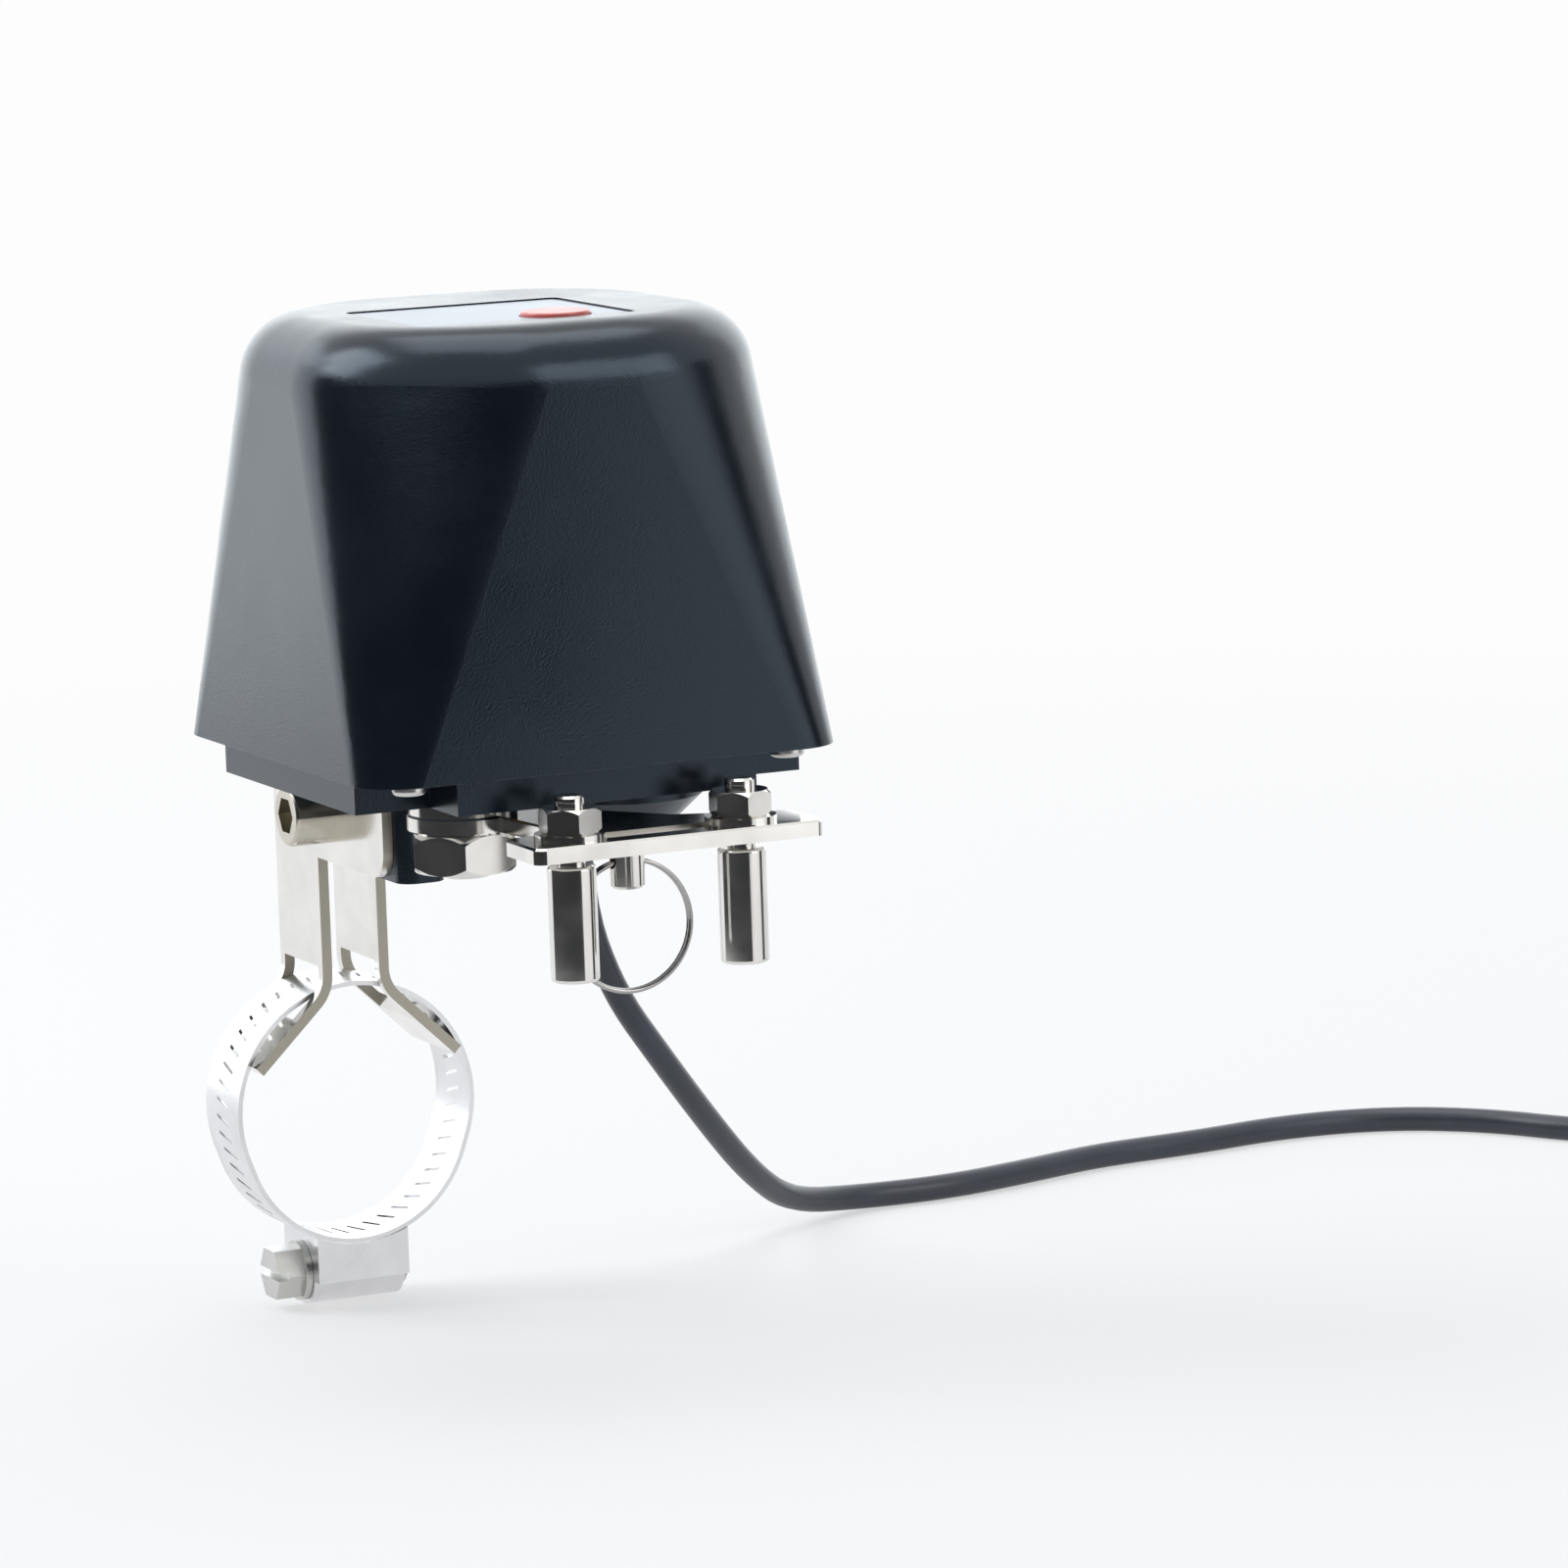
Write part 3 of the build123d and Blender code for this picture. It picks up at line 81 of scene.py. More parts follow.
class FinishSettings(bpy.types.PropertyGroup):
    """Colours of the actuator's finishes."""

    shell_colour: FloatVectorProperty(
        name="Shell colour", description="Moulded cover and base", subtype="COLOR", size=3,
        default=(0.0055, 0.0085, 0.0125))
    label_colour: FloatVectorProperty(
        name="Label colour", description="Film on the top", subtype="COLOR", size=3,
        default=(0.37, 0.41, 0.46))
    button_colour: FloatVectorProperty(
        name="Button colour", description="Push button", subtype="COLOR", size=3,
        default=(0.62, 0.11, 0.09))
    nickel_colour: FloatVectorProperty(
        name="Nickel colour", description="Plated sheet, posts and nuts", subtype="COLOR", size=3,
        default=(0.80, 0.785, 0.75))
    band_colour: FloatVectorProperty(
        name="Band colour", description="Stainless clamp band", subtype="COLOR", size=3,
        default=(0.80, 0.80, 0.81))
    cord_colour: FloatVectorProperty(
        name="Cord colour", description="Jacket of the cord", subtype="COLOR", size=3,
        default=(0.026, 0.031, 0.043))


class BandSettings(bpy.types.PropertyGroup):
    """The clamp band's worm slots."""

    pitch: FloatProperty(
        name="Slot pitch", description="Distance from slot to slot", unit="LENGTH",
        default=2.56 * MM)
    slot_length: FloatProperty(
        name="Slot length", description="Across the band", unit="LENGTH",
        default=4.4 * MM)
    slot_width: FloatProperty(
        name="Slot width", description="Along the band", unit="LENGTH",
        default=0.5 * MM)
    slant: FloatProperty(
        name="Slot slant", description="Turn of each slot from square", subtype="ANGLE",
        default=math.radians(14))
    top_radius: FloatProperty(
        name="Top radius", description="Inner radius over the feet", unit="LENGTH",
        default=17.5693 * MM)
    rise: FloatProperty(
        name="Rise", description="Height of the upper arc's centre", unit="LENGTH",
        default=2.6 * MM)


class ThreadSettings(bpy.types.PropertyGroup):
    """Size of the threads that show."""

    stud_pitch: FloatProperty(
        name="Stud pitch", description="Thread of the posts' studs", unit="LENGTH",
        default=0.7 * MM)
    stud_radius: FloatProperty(
        name="Stud radius", description="Over the studs' threads", unit="LENGTH",
        default=2.0 * MM)
    bolt_pitch: FloatProperty(
        name="Bolt pitch", description="Thread of the pivot bolt", unit="LENGTH",
        default=0.8 * MM)
    bolt_radius: FloatProperty(
        name="Bolt radius", description="Over the bolt's thread", unit="LENGTH",
        default=2.5 * MM)


class SpringSettings(bpy.types.PropertyGroup):
    """The coil springs of the pin and the button."""

    pin_wire: FloatProperty(
        name="Pin spring wire", description="Radius of its wire", unit="LENGTH",
        default=0.35 * MM)
    pin_turns: IntProperty(
        name="Pin spring turns", description="Turns from end to end", default=7)
    pin_travel: FloatProperty(
        name="Pin travel", description="How far the pin pulls", unit="LENGTH",
        default=4.6 * MM)
    button_wire: FloatProperty(
        name="Button spring wire", description="Radius of its wire", unit="LENGTH",
        default=0.25 * MM)
    button_turns: IntProperty(
        name="Button spring turns", description="Turns from end to end", default=4)
    button_travel: FloatProperty(
        name="Button travel", description="How far the button presses", unit="LENGTH",
        default=1.0 * MM)


class CordSettings(bpy.types.PropertyGroup):
    """The supply cord."""

    radius: FloatProperty(
        name="Radius", description="Half of the jacket's diameter", unit="LENGTH",
        default=CORD_RADIUS)
    side_gap: FloatProperty(
        name="Side gap", description="Between turns of one layer", unit="LENGTH",
        default=1.3 * MM)
    layer_gap: FloatProperty(
        name="Layer gap", description="Between the coil's two layers", unit="LENGTH",
        default=0.5 * MM)
    coil_radius: FloatProperty(
        name="Coil radius", description="Radius of the outermost turn", unit="LENGTH",
        default=29.0 * MM)
    half_turns: IntProperty(
        name="Half turns", description="Half turns of the lower layer", default=5)


class StageSettings(bpy.types.PropertyGroup):
    """Camera and light."""

    turn: FloatProperty(
        name="Camera turn", description="Angle from the pipe's axis", subtype="ANGLE",
        default=math.radians(25.01))
    rise: FloatProperty(
        name="Camera rise", description="Angle above the horizon", subtype="ANGLE",
        default=math.radians(8.79))
    roll: FloatProperty(
        name="Camera roll", description="Turn about the view", subtype="ANGLE",
        default=math.radians(1.89))
    distance: FloatProperty(
        name="Camera distance", description="To the cover's rim", unit="LENGTH",
        default=1.05)
    key_power: FloatProperty(
        name="Key power", description="Power of the main lamp, in watts", default=7.0)


SETTINGS = {
    "actuator_finish": FinishSettings,
    "actuator_band": BandSettings,
    "actuator_thread": ThreadSettings,
    "actuator_spring": SpringSettings,
    "actuator_cord": CordSettings,
    "actuator_stage": StageSettings,
}


# Shader parts

NUMBER = "NodeSocketFloat"
VECTOR = "NodeSocketVector"
WHITE = (1.0, 1.0, 1.0)
BLACK = (0.0, 0.0, 0.0)

# How handling changes moulded pieces: added roughness, and the shade and share of the rubbed edges
PATCH_DULLING = 0.07
RUBBED_KEEP = 0.75
RUBBED_LIFT = 0.06
RUBBED_SHARE = 0.5
MOULDED_REACH = 0.35 * MM

# The same for metal: haze over the faces and bare, brighter edges
HAZE_DULLING = 0.08
HAZE_SHADE = 0.86
BARE_SHADE = 1.12
BARE_LIMIT = 0.92
BARE_SHARE = 0.7
PLATED_REACH = 0.2 * MM

# How far two normals agree on a flat face and on a fully worn edge
FLAT_MATCH = 0.995
WORN_MATCH = 0.88

# The polished sheet's gloss and lines, and the dark border of the label
SHEET_GLOSS = 0.11
SHEET_POLISH = {"stretch": (0.35, 0.35, 1.0), "scale": 700.0, "depth": 1.5 * MICRON}
BORDER_WIDTH = 0.6 * MM


def opaque(colour):
    """A colour with its fourth channel."""
    return (*colour, 1.0)


class NodeKit:
    """Adds and joins the nodes of one tree."""

    def __init__(self, tree):
        self.tree = tree

    def feed(self, node, values):
        """Gives a node's inputs their values, or joins them to sockets."""
        for name, value in values.items():
            if isinstance(value, bpy.types.NodeSocket):
                self.tree.links.new(value, node.inputs[name])
            else:
                node.inputs[name].default_value = value

    def add(self, kind, values=None, **settings):
        """A new node with its settings and its inputs."""
        node = self.tree.nodes.new(kind)
        for name, value in settings.items():
            setattr(node, name, value)
        self.feed(node, values or {})
        return node

    def calculate(self, operation, first, second):
        """The result of one operation on two numbers."""
        return self.add("ShaderNodeMath", {0: first, 1: second}, operation=operation).outputs[0]

    def vector(self, operation, values):
        """A node that works on vectors."""
        return self.add("ShaderNodeVectorMath", values, operation=operation)

    def ramp(self, source, low, high, least=0.0, most=1.0):
        """A value between two limits, spread from the least to the most."""
        node = self.add("ShaderNodeMapRange", {"Value": source, "From Min": low, "From Max": high,
                                               "To Min": least, "To Max": most})
        return node.outputs["Result"]

    def noise(self, place, scale, detail, roughness=0.5):
        """Cloudy noise between 0 and 1."""
        node = self.add("ShaderNodeTexNoise", {"Vector": place, "Scale": scale, "Detail": detail,
                                               "Roughness": roughness})
        return node.outputs["Fac"]

    def blend(self, mask, first, second):
        """A colour that turns from the first to the second where the mask is 1."""
        node = self.add("ShaderNodeMix", {"Factor": mask, "A": first, "B": second}, data_type="RGBA")
        return node.outputs["Result"]

    def bump(self, height, depth):
        """A normal that follows a height."""
        node = self.add("ShaderNodeBump", {"Height": height, "Distance": depth, "Strength": 1.0})
        return node.outputs["Normal"]

    def group(self, name, values=None):
        """One of the shared shader groups."""
        return self.add("ShaderNodeGroup", values, node_tree=bpy.data.node_groups[name])

    def object_place(self):
        """The place on the piece."""
        return self.add("ShaderNodeTexCoord").outputs["Object"]


def shader_group(name, inputs, outputs):
    group = bpy.data.node_groups.new(name, "ShaderNodeTree")
    for label, kind, value in inputs:
        socket = group.interface.new_socket(label, in_out="INPUT", socket_type=kind)
        if value is not None:
            socket.default_value = value
    for label in outputs:
        group.interface.new_socket(label, in_out="OUTPUT", socket_type=NUMBER)
    kit = NodeKit(group)
    return kit, kit.add("NodeGroupInput").outputs, kit.add("NodeGroupOutput")


def moulded_grain():
    """Fine spark-eroded grain and broad, faint patches of handling."""
    kit, given, result = shader_group(
        "Moulded Grain",
        [("Vector", VECTOR, None), ("Grain Size", NUMBER, 3200.0), ("Patch Size", NUMBER, 60.0)],
        ["Height", "Patch"])
    grain = kit.noise(given["Vector"], given["Grain Size"], 3.0)
    patch = kit.noise(given["Vector"], given["Patch Size"], 4.0, 0.6)
    kit.feed(result, {"Height": grain, "Patch": kit.ramp(patch, 0.35, 0.7)})


def polish_marks():
    """Long faint polishing lines along one axis, and a broad haze."""
    kit, given, result = shader_group(
        "Polish Marks",
        [("Vector", VECTOR, None), ("Stretch", VECTOR, (1.0, 1.0, 1.0)), ("Scale", NUMBER, 900.0)],
        ["Height", "Haze"])
    stretched = kit.vector("MULTIPLY", {0: given["Vector"], 1: given["Stretch"]})
    lines = kit.noise(stretched.outputs[0], given["Scale"], 5.0, 0.65)
    haze = kit.noise(given["Vector"], 140.0, 3.0)
    kit.feed(result, {"Height": lines, "Haze": kit.ramp(haze, 0.3, 0.75)})


def edge_wear():
    """A broken mask along the sharp edges, where handling has rubbed them."""
    kit, given, result = shader_group(
        "Edge Wear",
        [("Vector", VECTOR, None), ("Reach", NUMBER, MOULDED_REACH), ("Break Size", NUMBER, 700.0)],
        ["Wear"])
    rounded = kit.add("ShaderNodeBevel", {"Radius": given["Reach"]}, samples=6)
    face = kit.add("ShaderNodeNewGeometry")
    match = kit.vector("DOT_PRODUCT", {0: rounded.outputs["Normal"], 1: face.outputs["Normal"]})
    rim = kit.ramp(match.outputs["Value"], FLAT_MATCH, WORN_MATCH)
    gaps = kit.ramp(kit.noise(given["Vector"], given["Break Size"], 4.0), 0.38, 0.62)
    kit.feed(result, {"Wear": kit.calculate("MULTIPLY", rim, gaps)})


def sheared_edge():
    """A mask of the faces that were sheared, which look along the sheet's X axis."""
    kit, _, result = shader_group("Sheared Edge", [], ["Edge"])
    face = kit.add("ShaderNodeNewGeometry")
    parts = kit.add("ShaderNodeSeparateXYZ", {"Vector": face.outputs["True Normal"]})
    flat = kit.add("ShaderNodeMath", {0: parts.outputs["X"]}, operation="ABSOLUTE")
    kit.feed(result, {"Edge": kit.ramp(flat.outputs[0], 0.7, 0.9)})


def opened(material):
    """A material's node kit and its Principled shader."""
    return NodeKit(material.node_tree), material.node_tree.nodes["Principled BSDF"]


def new_material(name):
    """A material with its node kit and its Principled shader."""
    material = bpy.data.materials.new(name)
    material.use_nodes = True
    return material, *opened(material)


def with_wear(kit, place, colour, worn_colour, share, reach):
    """A colour that turns to its worn shade along the edges."""
    wear = kit.group("Edge Wear", {"Vector": place, "Reach": reach})
    amount = kit.calculate("MULTIPLY", wear.outputs["Wear"], share)
    return kit.blend(amount, colour, opaque(worn_colour))


def lay_over(kit, shader, mask, colour):
    """Lays a colour over the shader's own where the mask is 1."""
    own = shader.inputs["Base Color"].links[0].from_socket
    kit.feed(shader, {"Base Color": kit.blend(mask, own, opaque(colour))})


def grained(name, colour, gloss, grain=3200.0, depth=20 * MICRON, worn=1.35, specular=0.5, tint=WHITE):
    """A moulded plastic or rubber: grain in the normal, patches in colour and gloss, pale rubbed edges."""
    material, kit, shader = new_material(name)
    place = kit.object_place()
    group = kit.group("Moulded Grain", {"Vector": place, "Grain Size": grain})
    patch = group.outputs["Patch"]
    bright = [min(1.0, channel * worn) for channel in colour]
    rubbed = [channel * RUBBED_KEEP + RUBBED_LIFT for channel in colour]
    surface = kit.blend(patch, opaque(colour), opaque(bright))
    kit.feed(shader, {
        "Base Color": with_wear(kit, place, surface, rubbed, RUBBED_SHARE, MOULDED_REACH),
        "Roughness": kit.ramp(patch, 0.0, 1.0, gloss, gloss + PATCH_DULLING),
        "Normal": kit.bump(group.outputs["Height"], depth),
        "Specular IOR Level": specular,
        "Specular Tint": opaque(tint)})
    return material


def plated(name, colour, gloss, stretch=(1.0, 1.0, 1.0), scale=900.0, depth=4 * MICRON):
    """A plated or machined metal: polishing lines in the normal, haze in colour and gloss, bright edges."""
    material, kit, shader = new_material(name)
    place = kit.object_place()
    group = kit.group("Polish Marks", {"Vector": place, "Stretch": stretch, "Scale": scale})
    haze = group.outputs["Haze"]
    dull = [channel * HAZE_SHADE for channel in colour]
    bare = [min(BARE_LIMIT, channel * BARE_SHADE) for channel in colour]
    surface = kit.blend(haze, opaque(colour), opaque(dull))
    kit.feed(shader, {
        "Base Color": with_wear(kit, place, surface, bare, BARE_SHARE, PLATED_REACH),
        "Roughness": kit.ramp(haze, 0.0, 1.0, gloss, gloss + HAZE_DULLING),
        "Normal": kit.bump(group.outputs["Height"], depth),
        "Metallic": 1.0})
    return material


def sheared_sheet(colour, edge_colour, edge_gloss):
    """Plated sheet whose sheared edges are duller and darker than its faces."""
    material = plated("bracket_sheet", colour, SHEET_GLOSS, **SHEET_POLISH)
    kit, shader = opened(material)
    edge = kit.group("Sheared Edge").outputs["Edge"]
    gloss = shader.inputs["Roughness"].links[0].from_socket
    dull = kit.add("ShaderNodeMix", {"Factor": edge, "A": gloss, "B": edge_gloss}, data_type="FLOAT")
    kit.feed(shader, {"Roughness": dull.outputs["Result"]})
    lay_over(kit, shader, edge, edge_colour)
    return material


def label_film(colour):
    """The pale film with a dark border along its edge."""
    material = grained("label_film", colour, 0.3, grain=5000.0, depth=6 * MICRON, worn=1.04)
    kit, shader = opened(material)
    local = kit.vector("SUBTRACT", {0: kit.object_place(), 1: box_middle("label_panel")})
    folded = kit.vector("ABSOLUTE", {0: local.outputs[0]})
    inward = kit.vector("SUBTRACT", {0: box_size("label_panel") / 2, 1: folded.outputs[0]})
    parts = kit.add("ShaderNodeSeparateXYZ", {"Vector": inward.outputs[0]})
    nearest = kit.calculate("MINIMUM", parts.outputs["X"], parts.outputs["Y"])
    line = kit.add("ShaderNodeMath", {0: nearest, 1: BORDER_WIDTH / 2, 2: BORDER_WIDTH / 2},
                   operation="COMPARE")
    lay_over(kit, shader, line.outputs[0], (0.02, 0.03, 0.06))
    return material


def board_laminate():
    """The green board with faint copper lines under its mask."""
    material = grained("board_laminate", (0.012, 0.11, 0.035), 0.32, grain=2500.0, depth=8 * MICRON,
                       worn=1.5)
    kit, shader = opened(material)
    lines = kit.add("ShaderNodeTexBrick", {
        "Vector": kit.object_place(), "Scale": 120.0, "Mortar Size": 0.06,
        "Color1": opaque(BLACK), "Color2": opaque(BLACK), "Mortar": opaque(WHITE)})
    lay_over(kit, shader, lines.outputs["Color"], (0.05, 0.24, 0.06))
    return material


def make_materials(finish):
    """Every finish of the actuator, by name."""
    moulded_grain()
    polish_marks()
    edge_wear()
    sheared_edge()
    nickel = finish.nickel_colour
    return {
        "black_shell": grained("black_shell", finish.shell_colour, 0.18, tint=(0.62, 0.78, 0.94)),
        "label_film": label_film(finish.label_colour),
        "button_red": grained("button_red", finish.button_colour, 0.24, grain=4200.0, depth=8 * MICRON,
                              worn=1.1, specular=0.8),
        "nickel_sheet": plated("nickel_sheet", nickel, SHEET_GLOSS, **SHEET_POLISH),
        "bracket_sheet": sheared_sheet(nickel, (0.42, 0.395, 0.335), 0.45),
        "ring_wire": plated("ring_wire", (0.42, 0.41, 0.40), 0.2, depth=0.6 * MICRON),
        "bolt_steel": plated("bolt_steel", (0.60, 0.565, 0.49), 0.2, depth=0.8 * MICRON),
        "nickel_turned": plated("nickel_turned", nickel, 0.09, stretch=(0.3, 0.3, 2.5), scale=1400.0,
                                depth=0.4 * MICRON),
        "zinc_steel": plated("zinc_steel", (0.62, 0.62, 0.60), 0.28, scale=1200.0, depth=6 * MICRON),
        "band_stainless": plated("band_stainless", finish.band_colour, 0.22, stretch=(3.0, 0.25, 0.25),
                                 depth=0.6 * MICRON),
        "brass": plated("brass", (0.72, 0.50, 0.18), 0.25, stretch=(0.4, 0.4, 2.0)),
        "nylon": grained("nylon", (0.78, 0.77, 0.72), 0.42, grain=1500.0, worn=1.05),
        "rubber_black": grained("rubber_black", (0.012, 0.012, 0.013), 0.55, grain=1800.0,
                                depth=30 * MICRON),
        "cord_jacket": grained("cord_jacket", finish.cord_colour, 0.36, grain=2200.0, depth=10 * MICRON),
        "component_grey": grained("component_grey", (0.03, 0.03, 0.034), 0.45, grain=1500.0),
        "board_laminate": board_laminate(),
    }


# Frame nodes by finish; the nodes that a modelled piece replaces are dressed too
FINISH_NODES = {
    "black_shell": ["cover", "base", "pin_housing"],
    "label_film": ["label_panel"],
    "button_red": ["push_button"],
    "nickel_sheet": ["arm_plate"],
    "bracket_sheet": ["bracket_left", "bracket_right"],
    "ring_wire": ["key_ring"],
    "bolt_steel": ["pivot_bolt"],
    "nickel_turned": ["arm_nut", "arm_washer", "output_shaft", "pull_pin", "pin_guide", "pivot_washer",
                      "pivot_nut", "finger_post_left", "finger_post_right", "post_washer_left",
                      "post_washer_right", "post_nut_left", "post_nut_right", "plug_barrel"],
    "zinc_steel": ["cover_screws", "button_spring", "board_screws", "gearbox_deck", "deck_pillars",
                   "deck_screws", "motor_head", "motor_can", "motor_screws", "pin_clip", "pin_spring",
                   "worm_screw"],
    "band_stainless": ["clamp_band", "worm_housing"],
    "brass": ["motor_pinion", "upper_bush", "shaft_bush"],
    "nylon": ["clutch_gear", "output_gear", "switch_cam"],
    "rubber_black": ["base_gasket", "shaft_seal", "cable_gland", "plug_body"],
    "cord_jacket": ["cord", "cord_coil", "cord_tail"],
    "component_grey": ["button_switch", "board_parts", "limit_switches"],
    "board_laminate": ["main_board"],
}


# Geometry node parts

def node_tool(name, inputs):
    """A geometry tree with named inputs, its kit, its given sockets and its result node."""
    tree = bpy.data.node_groups.new(name, "GeometryNodeTree")
    tree.interface.new_socket("Geometry", in_out="INPUT", socket_type="NodeSocketGeometry")
    for label, kind in inputs:
        tree.interface.new_socket(label, in_out="INPUT", socket_type=kind)
    tree.interface.new_socket("Geometry", in_out="OUTPUT", socket_type="NodeSocketGeometry")
    kit = NodeKit(tree)
    return tree, kit, kit.add("NodeGroupInput").outputs, kit.add("NodeGroupOutput")


def finish_tree(kit, given, shape, result):
    """Ends a tree with real geometry and one material."""
    real = kit.add("GeometryNodeRealizeInstances", {"Geometry": shape})
    painted = kit.add("GeometryNodeSetMaterial",
                      {"Geometry": real.outputs["Geometry"], "Material": given["Material"]})
    kit.feed(result, {"Geometry": painted.outputs["Geometry"]})


# How many thicknesses of the band each slot's cutter spans, so that it cuts right through
CUTTER_DEPTH = 4.0


def perforated_band_tree():
    """A band that follows a closed curve, cut by slanted slots at a steady pitch."""
    tree, kit, given, result = node_tool("Perforated Band", [
        ("Width", NUMBER), ("Thickness", NUMBER), ("Pitch", NUMBER), ("Slot Length", NUMBER),
        ("Slot Width", NUMBER), ("Slant", NUMBER), ("Material", "NodeSocketMaterial")])
    profile = kit.add("GeometryNodeCurvePrimitiveQuadrilateral",
                      {"Width": given["Width"], "Height": given["Thickness"]})
    upright = kit.add("GeometryNodeSetCurveNormal",
                      {"Curve": given["Geometry"], "Normal": (1.0, 0.0, 0.0)}, mode="FREE")
    band = kit.add("GeometryNodeCurveToMesh", {"Curve": upright.outputs["Curve"],
                                               "Profile Curve": profile.outputs["Curve"]})
    spots = kit.add("GeometryNodeResampleCurve",
                    {"Curve": given["Geometry"], "Length": given["Pitch"]}, mode="LENGTH")
    tangent = kit.add("GeometryNodeInputTangent")
    across = kit.add("FunctionNodeAlignRotationToVector", {"Vector": (1.0, 0.0, 0.0)}, axis="X")
    along = kit.add("FunctionNodeAlignRotationToVector", {"Rotation": across.outputs["Rotation"],
                                                         "Vector": tangent.outputs["Tangent"]},
                    axis="Y", pivot_axis="X")
    lean = kit.add("ShaderNodeCombineXYZ", {"Z": given["Slant"]})
    lean_turn = kit.add("FunctionNodeEulerToRotation", {"Euler": lean.outputs["Vector"]})
    turned = kit.add("FunctionNodeRotateRotation", {"Rotation": along.outputs["Rotation"],
                                                    "Rotate By": lean_turn.outputs["Rotation"]},
                     rotation_space="LOCAL")
    depth = kit.calculate("MULTIPLY", given["Thickness"], CUTTER_DEPTH)
    size = kit.add("ShaderNodeCombineXYZ",
                   {"X": given["Slot Length"], "Y": given["Slot Width"], "Z": depth})
    cutter = kit.add("GeometryNodeMeshCube", {"Size": size.outputs["Vector"]})
    slots = kit.add("GeometryNodeInstanceOnPoints", {"Points": spots.outputs["Curve"],
                                                     "Instance": cutter.outputs["Mesh"],
                                                     "Rotation": turned.outputs["Rotation"]})
    cuts = kit.add("GeometryNodeRealizeInstances", {"Geometry": slots.outputs["Instances"]})
    holed = kit.add("GeometryNodeMeshBoolean",
                    {"Mesh 1": band.outputs["Mesh"], "Mesh 2": cuts.outputs["Geometry"]},
                    operation="DIFFERENCE")
    plain = kit.add("GeometryNodeSetShadeSmooth",
                    {"Geometry": holed.outputs["Mesh"], "Shade Smooth": False})
    finish_tree(kit, given, plain.outputs["Geometry"], result)
    return tree


# Points along one turn of a thread or a spring, and sides of the ridge: a thread's is a square set
# on its corner, a spring's is round
TURN_POINTS = 40
THREAD_SIDES = 4
WIRE_SIDES = 10


def wound_ridge_tree():
    """A ridge that winds up round the Z axis from the origin, added to the geometry it is given."""
    name = "Wound Ridge"
    if name in bpy.data.node_groups:
        return bpy.data.node_groups[name]
    tree, kit, given, result = node_tool(name, [
        ("Radius", NUMBER), ("Pitch", NUMBER), ("Turns", NUMBER), ("Depth", NUMBER),
        ("Sides", "NodeSocketInt"), ("Material", "NodeSocketMaterial")])
    height = kit.calculate("MULTIPLY", given["Pitch"], given["Turns"])
    helix = kit.add("GeometryNodeCurveSpiral", {
        "Resolution": TURN_POINTS, "Rotations": given["Turns"], "Start Radius": given["Radius"],
        "End Radius": given["Radius"], "Height": height})
    upright = kit.add("GeometryNodeSetCurveNormal", {"Curve": helix.outputs["Curve"]}, mode="Z_UP")
    profile = kit.add("GeometryNodeCurvePrimitiveCircle",
                      {"Resolution": given["Sides"], "Radius": given["Depth"]})
    ridge = kit.add("GeometryNodeCurveToMesh", {"Curve": upright.outputs["Curve"],
                                                "Profile Curve": profile.outputs["Curve"],
                                                "Fill Caps": True})
    joined = kit.add("GeometryNodeJoinGeometry", {"Geometry": ridge.outputs["Mesh"]})
    kit.feed(joined, {"Geometry": given["Geometry"]})
    finish_tree(kit, given, joined.outputs["Geometry"], result)
    return tree


def shown(name, data):
    """A new object in the scene."""
    piece = bpy.data.objects.new(name, data)
    bpy.context.scene.collection.objects.link(piece)
    return piece


def grown(name, source, tree, values, place=None):
    """A plain mesh object made by a geometry tree on a source object, which is then removed."""
    bpy.context.scene.collection.objects.link(source)
    modifier = source.modifiers.new(tree.name, "NODES")
    modifier.node_group = tree
    for item in tree.interface.items_tree:
        if item.item_type == "SOCKET" and item.in_out == "INPUT" and item.name in values:
            modifier[item.identifier] = values[item.name]
    bpy.context.view_layer.update()
    solved = source.evaluated_get(bpy.context.evaluated_depsgraph_get())
    mesh = bpy.data.meshes.new_from_object(solved)
    mesh.name = name
    if place is not None:
        mesh.transform(place)
    data = source.data
    bpy.data.objects.remove(source)
    if isinstance(data, bpy.types.Curve):
        bpy.data.curves.remove(data)
    return shown(name, mesh)


def wound(name, place, radius, pitch, turns, depth, sides, material):
    """A thread or a coil spring that winds up from a place."""
    source = bpy.data.objects.new(name + "_source", bpy.data.meshes.new(name + "_source"))
    return grown(name, source, wound_ridge_tree(), {
        "Radius": radius, "Pitch": pitch, "Turns": turns, "Depth": depth, "Sides": sides,
        "Material": bpy.data.materials[material]}, place)


class ACTUATOR_OT_finish_frame(bpy.types.Operator):
    """Give every frame node its finish"""

    bl_idname = "actuator.finish_frame"
    bl_label = "Finish Frame Nodes"

    def execute(self, context):
        made = make_materials(context.scene.actuator_finish)
        for finish, nodes in FINISH_NODES.items():
            for node in nodes:
                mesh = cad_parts[node].data
                mesh.materials.clear()
                mesh.materials.append(made[finish])
        return {"FINISHED"}


# Steps of each of the band's two arcs
ARC_STEPS = 150


def arc(radius, height, start, sweep):
    """Points (y, z) along an arc whose centre stands above the pipe's axis."""
    angles = [start + sweep * k / ARC_STEPS for k in range(ARC_STEPS + 1)]
    return [(radius * math.cos(angle), height + radius * math.sin(angle)) for angle in angles]


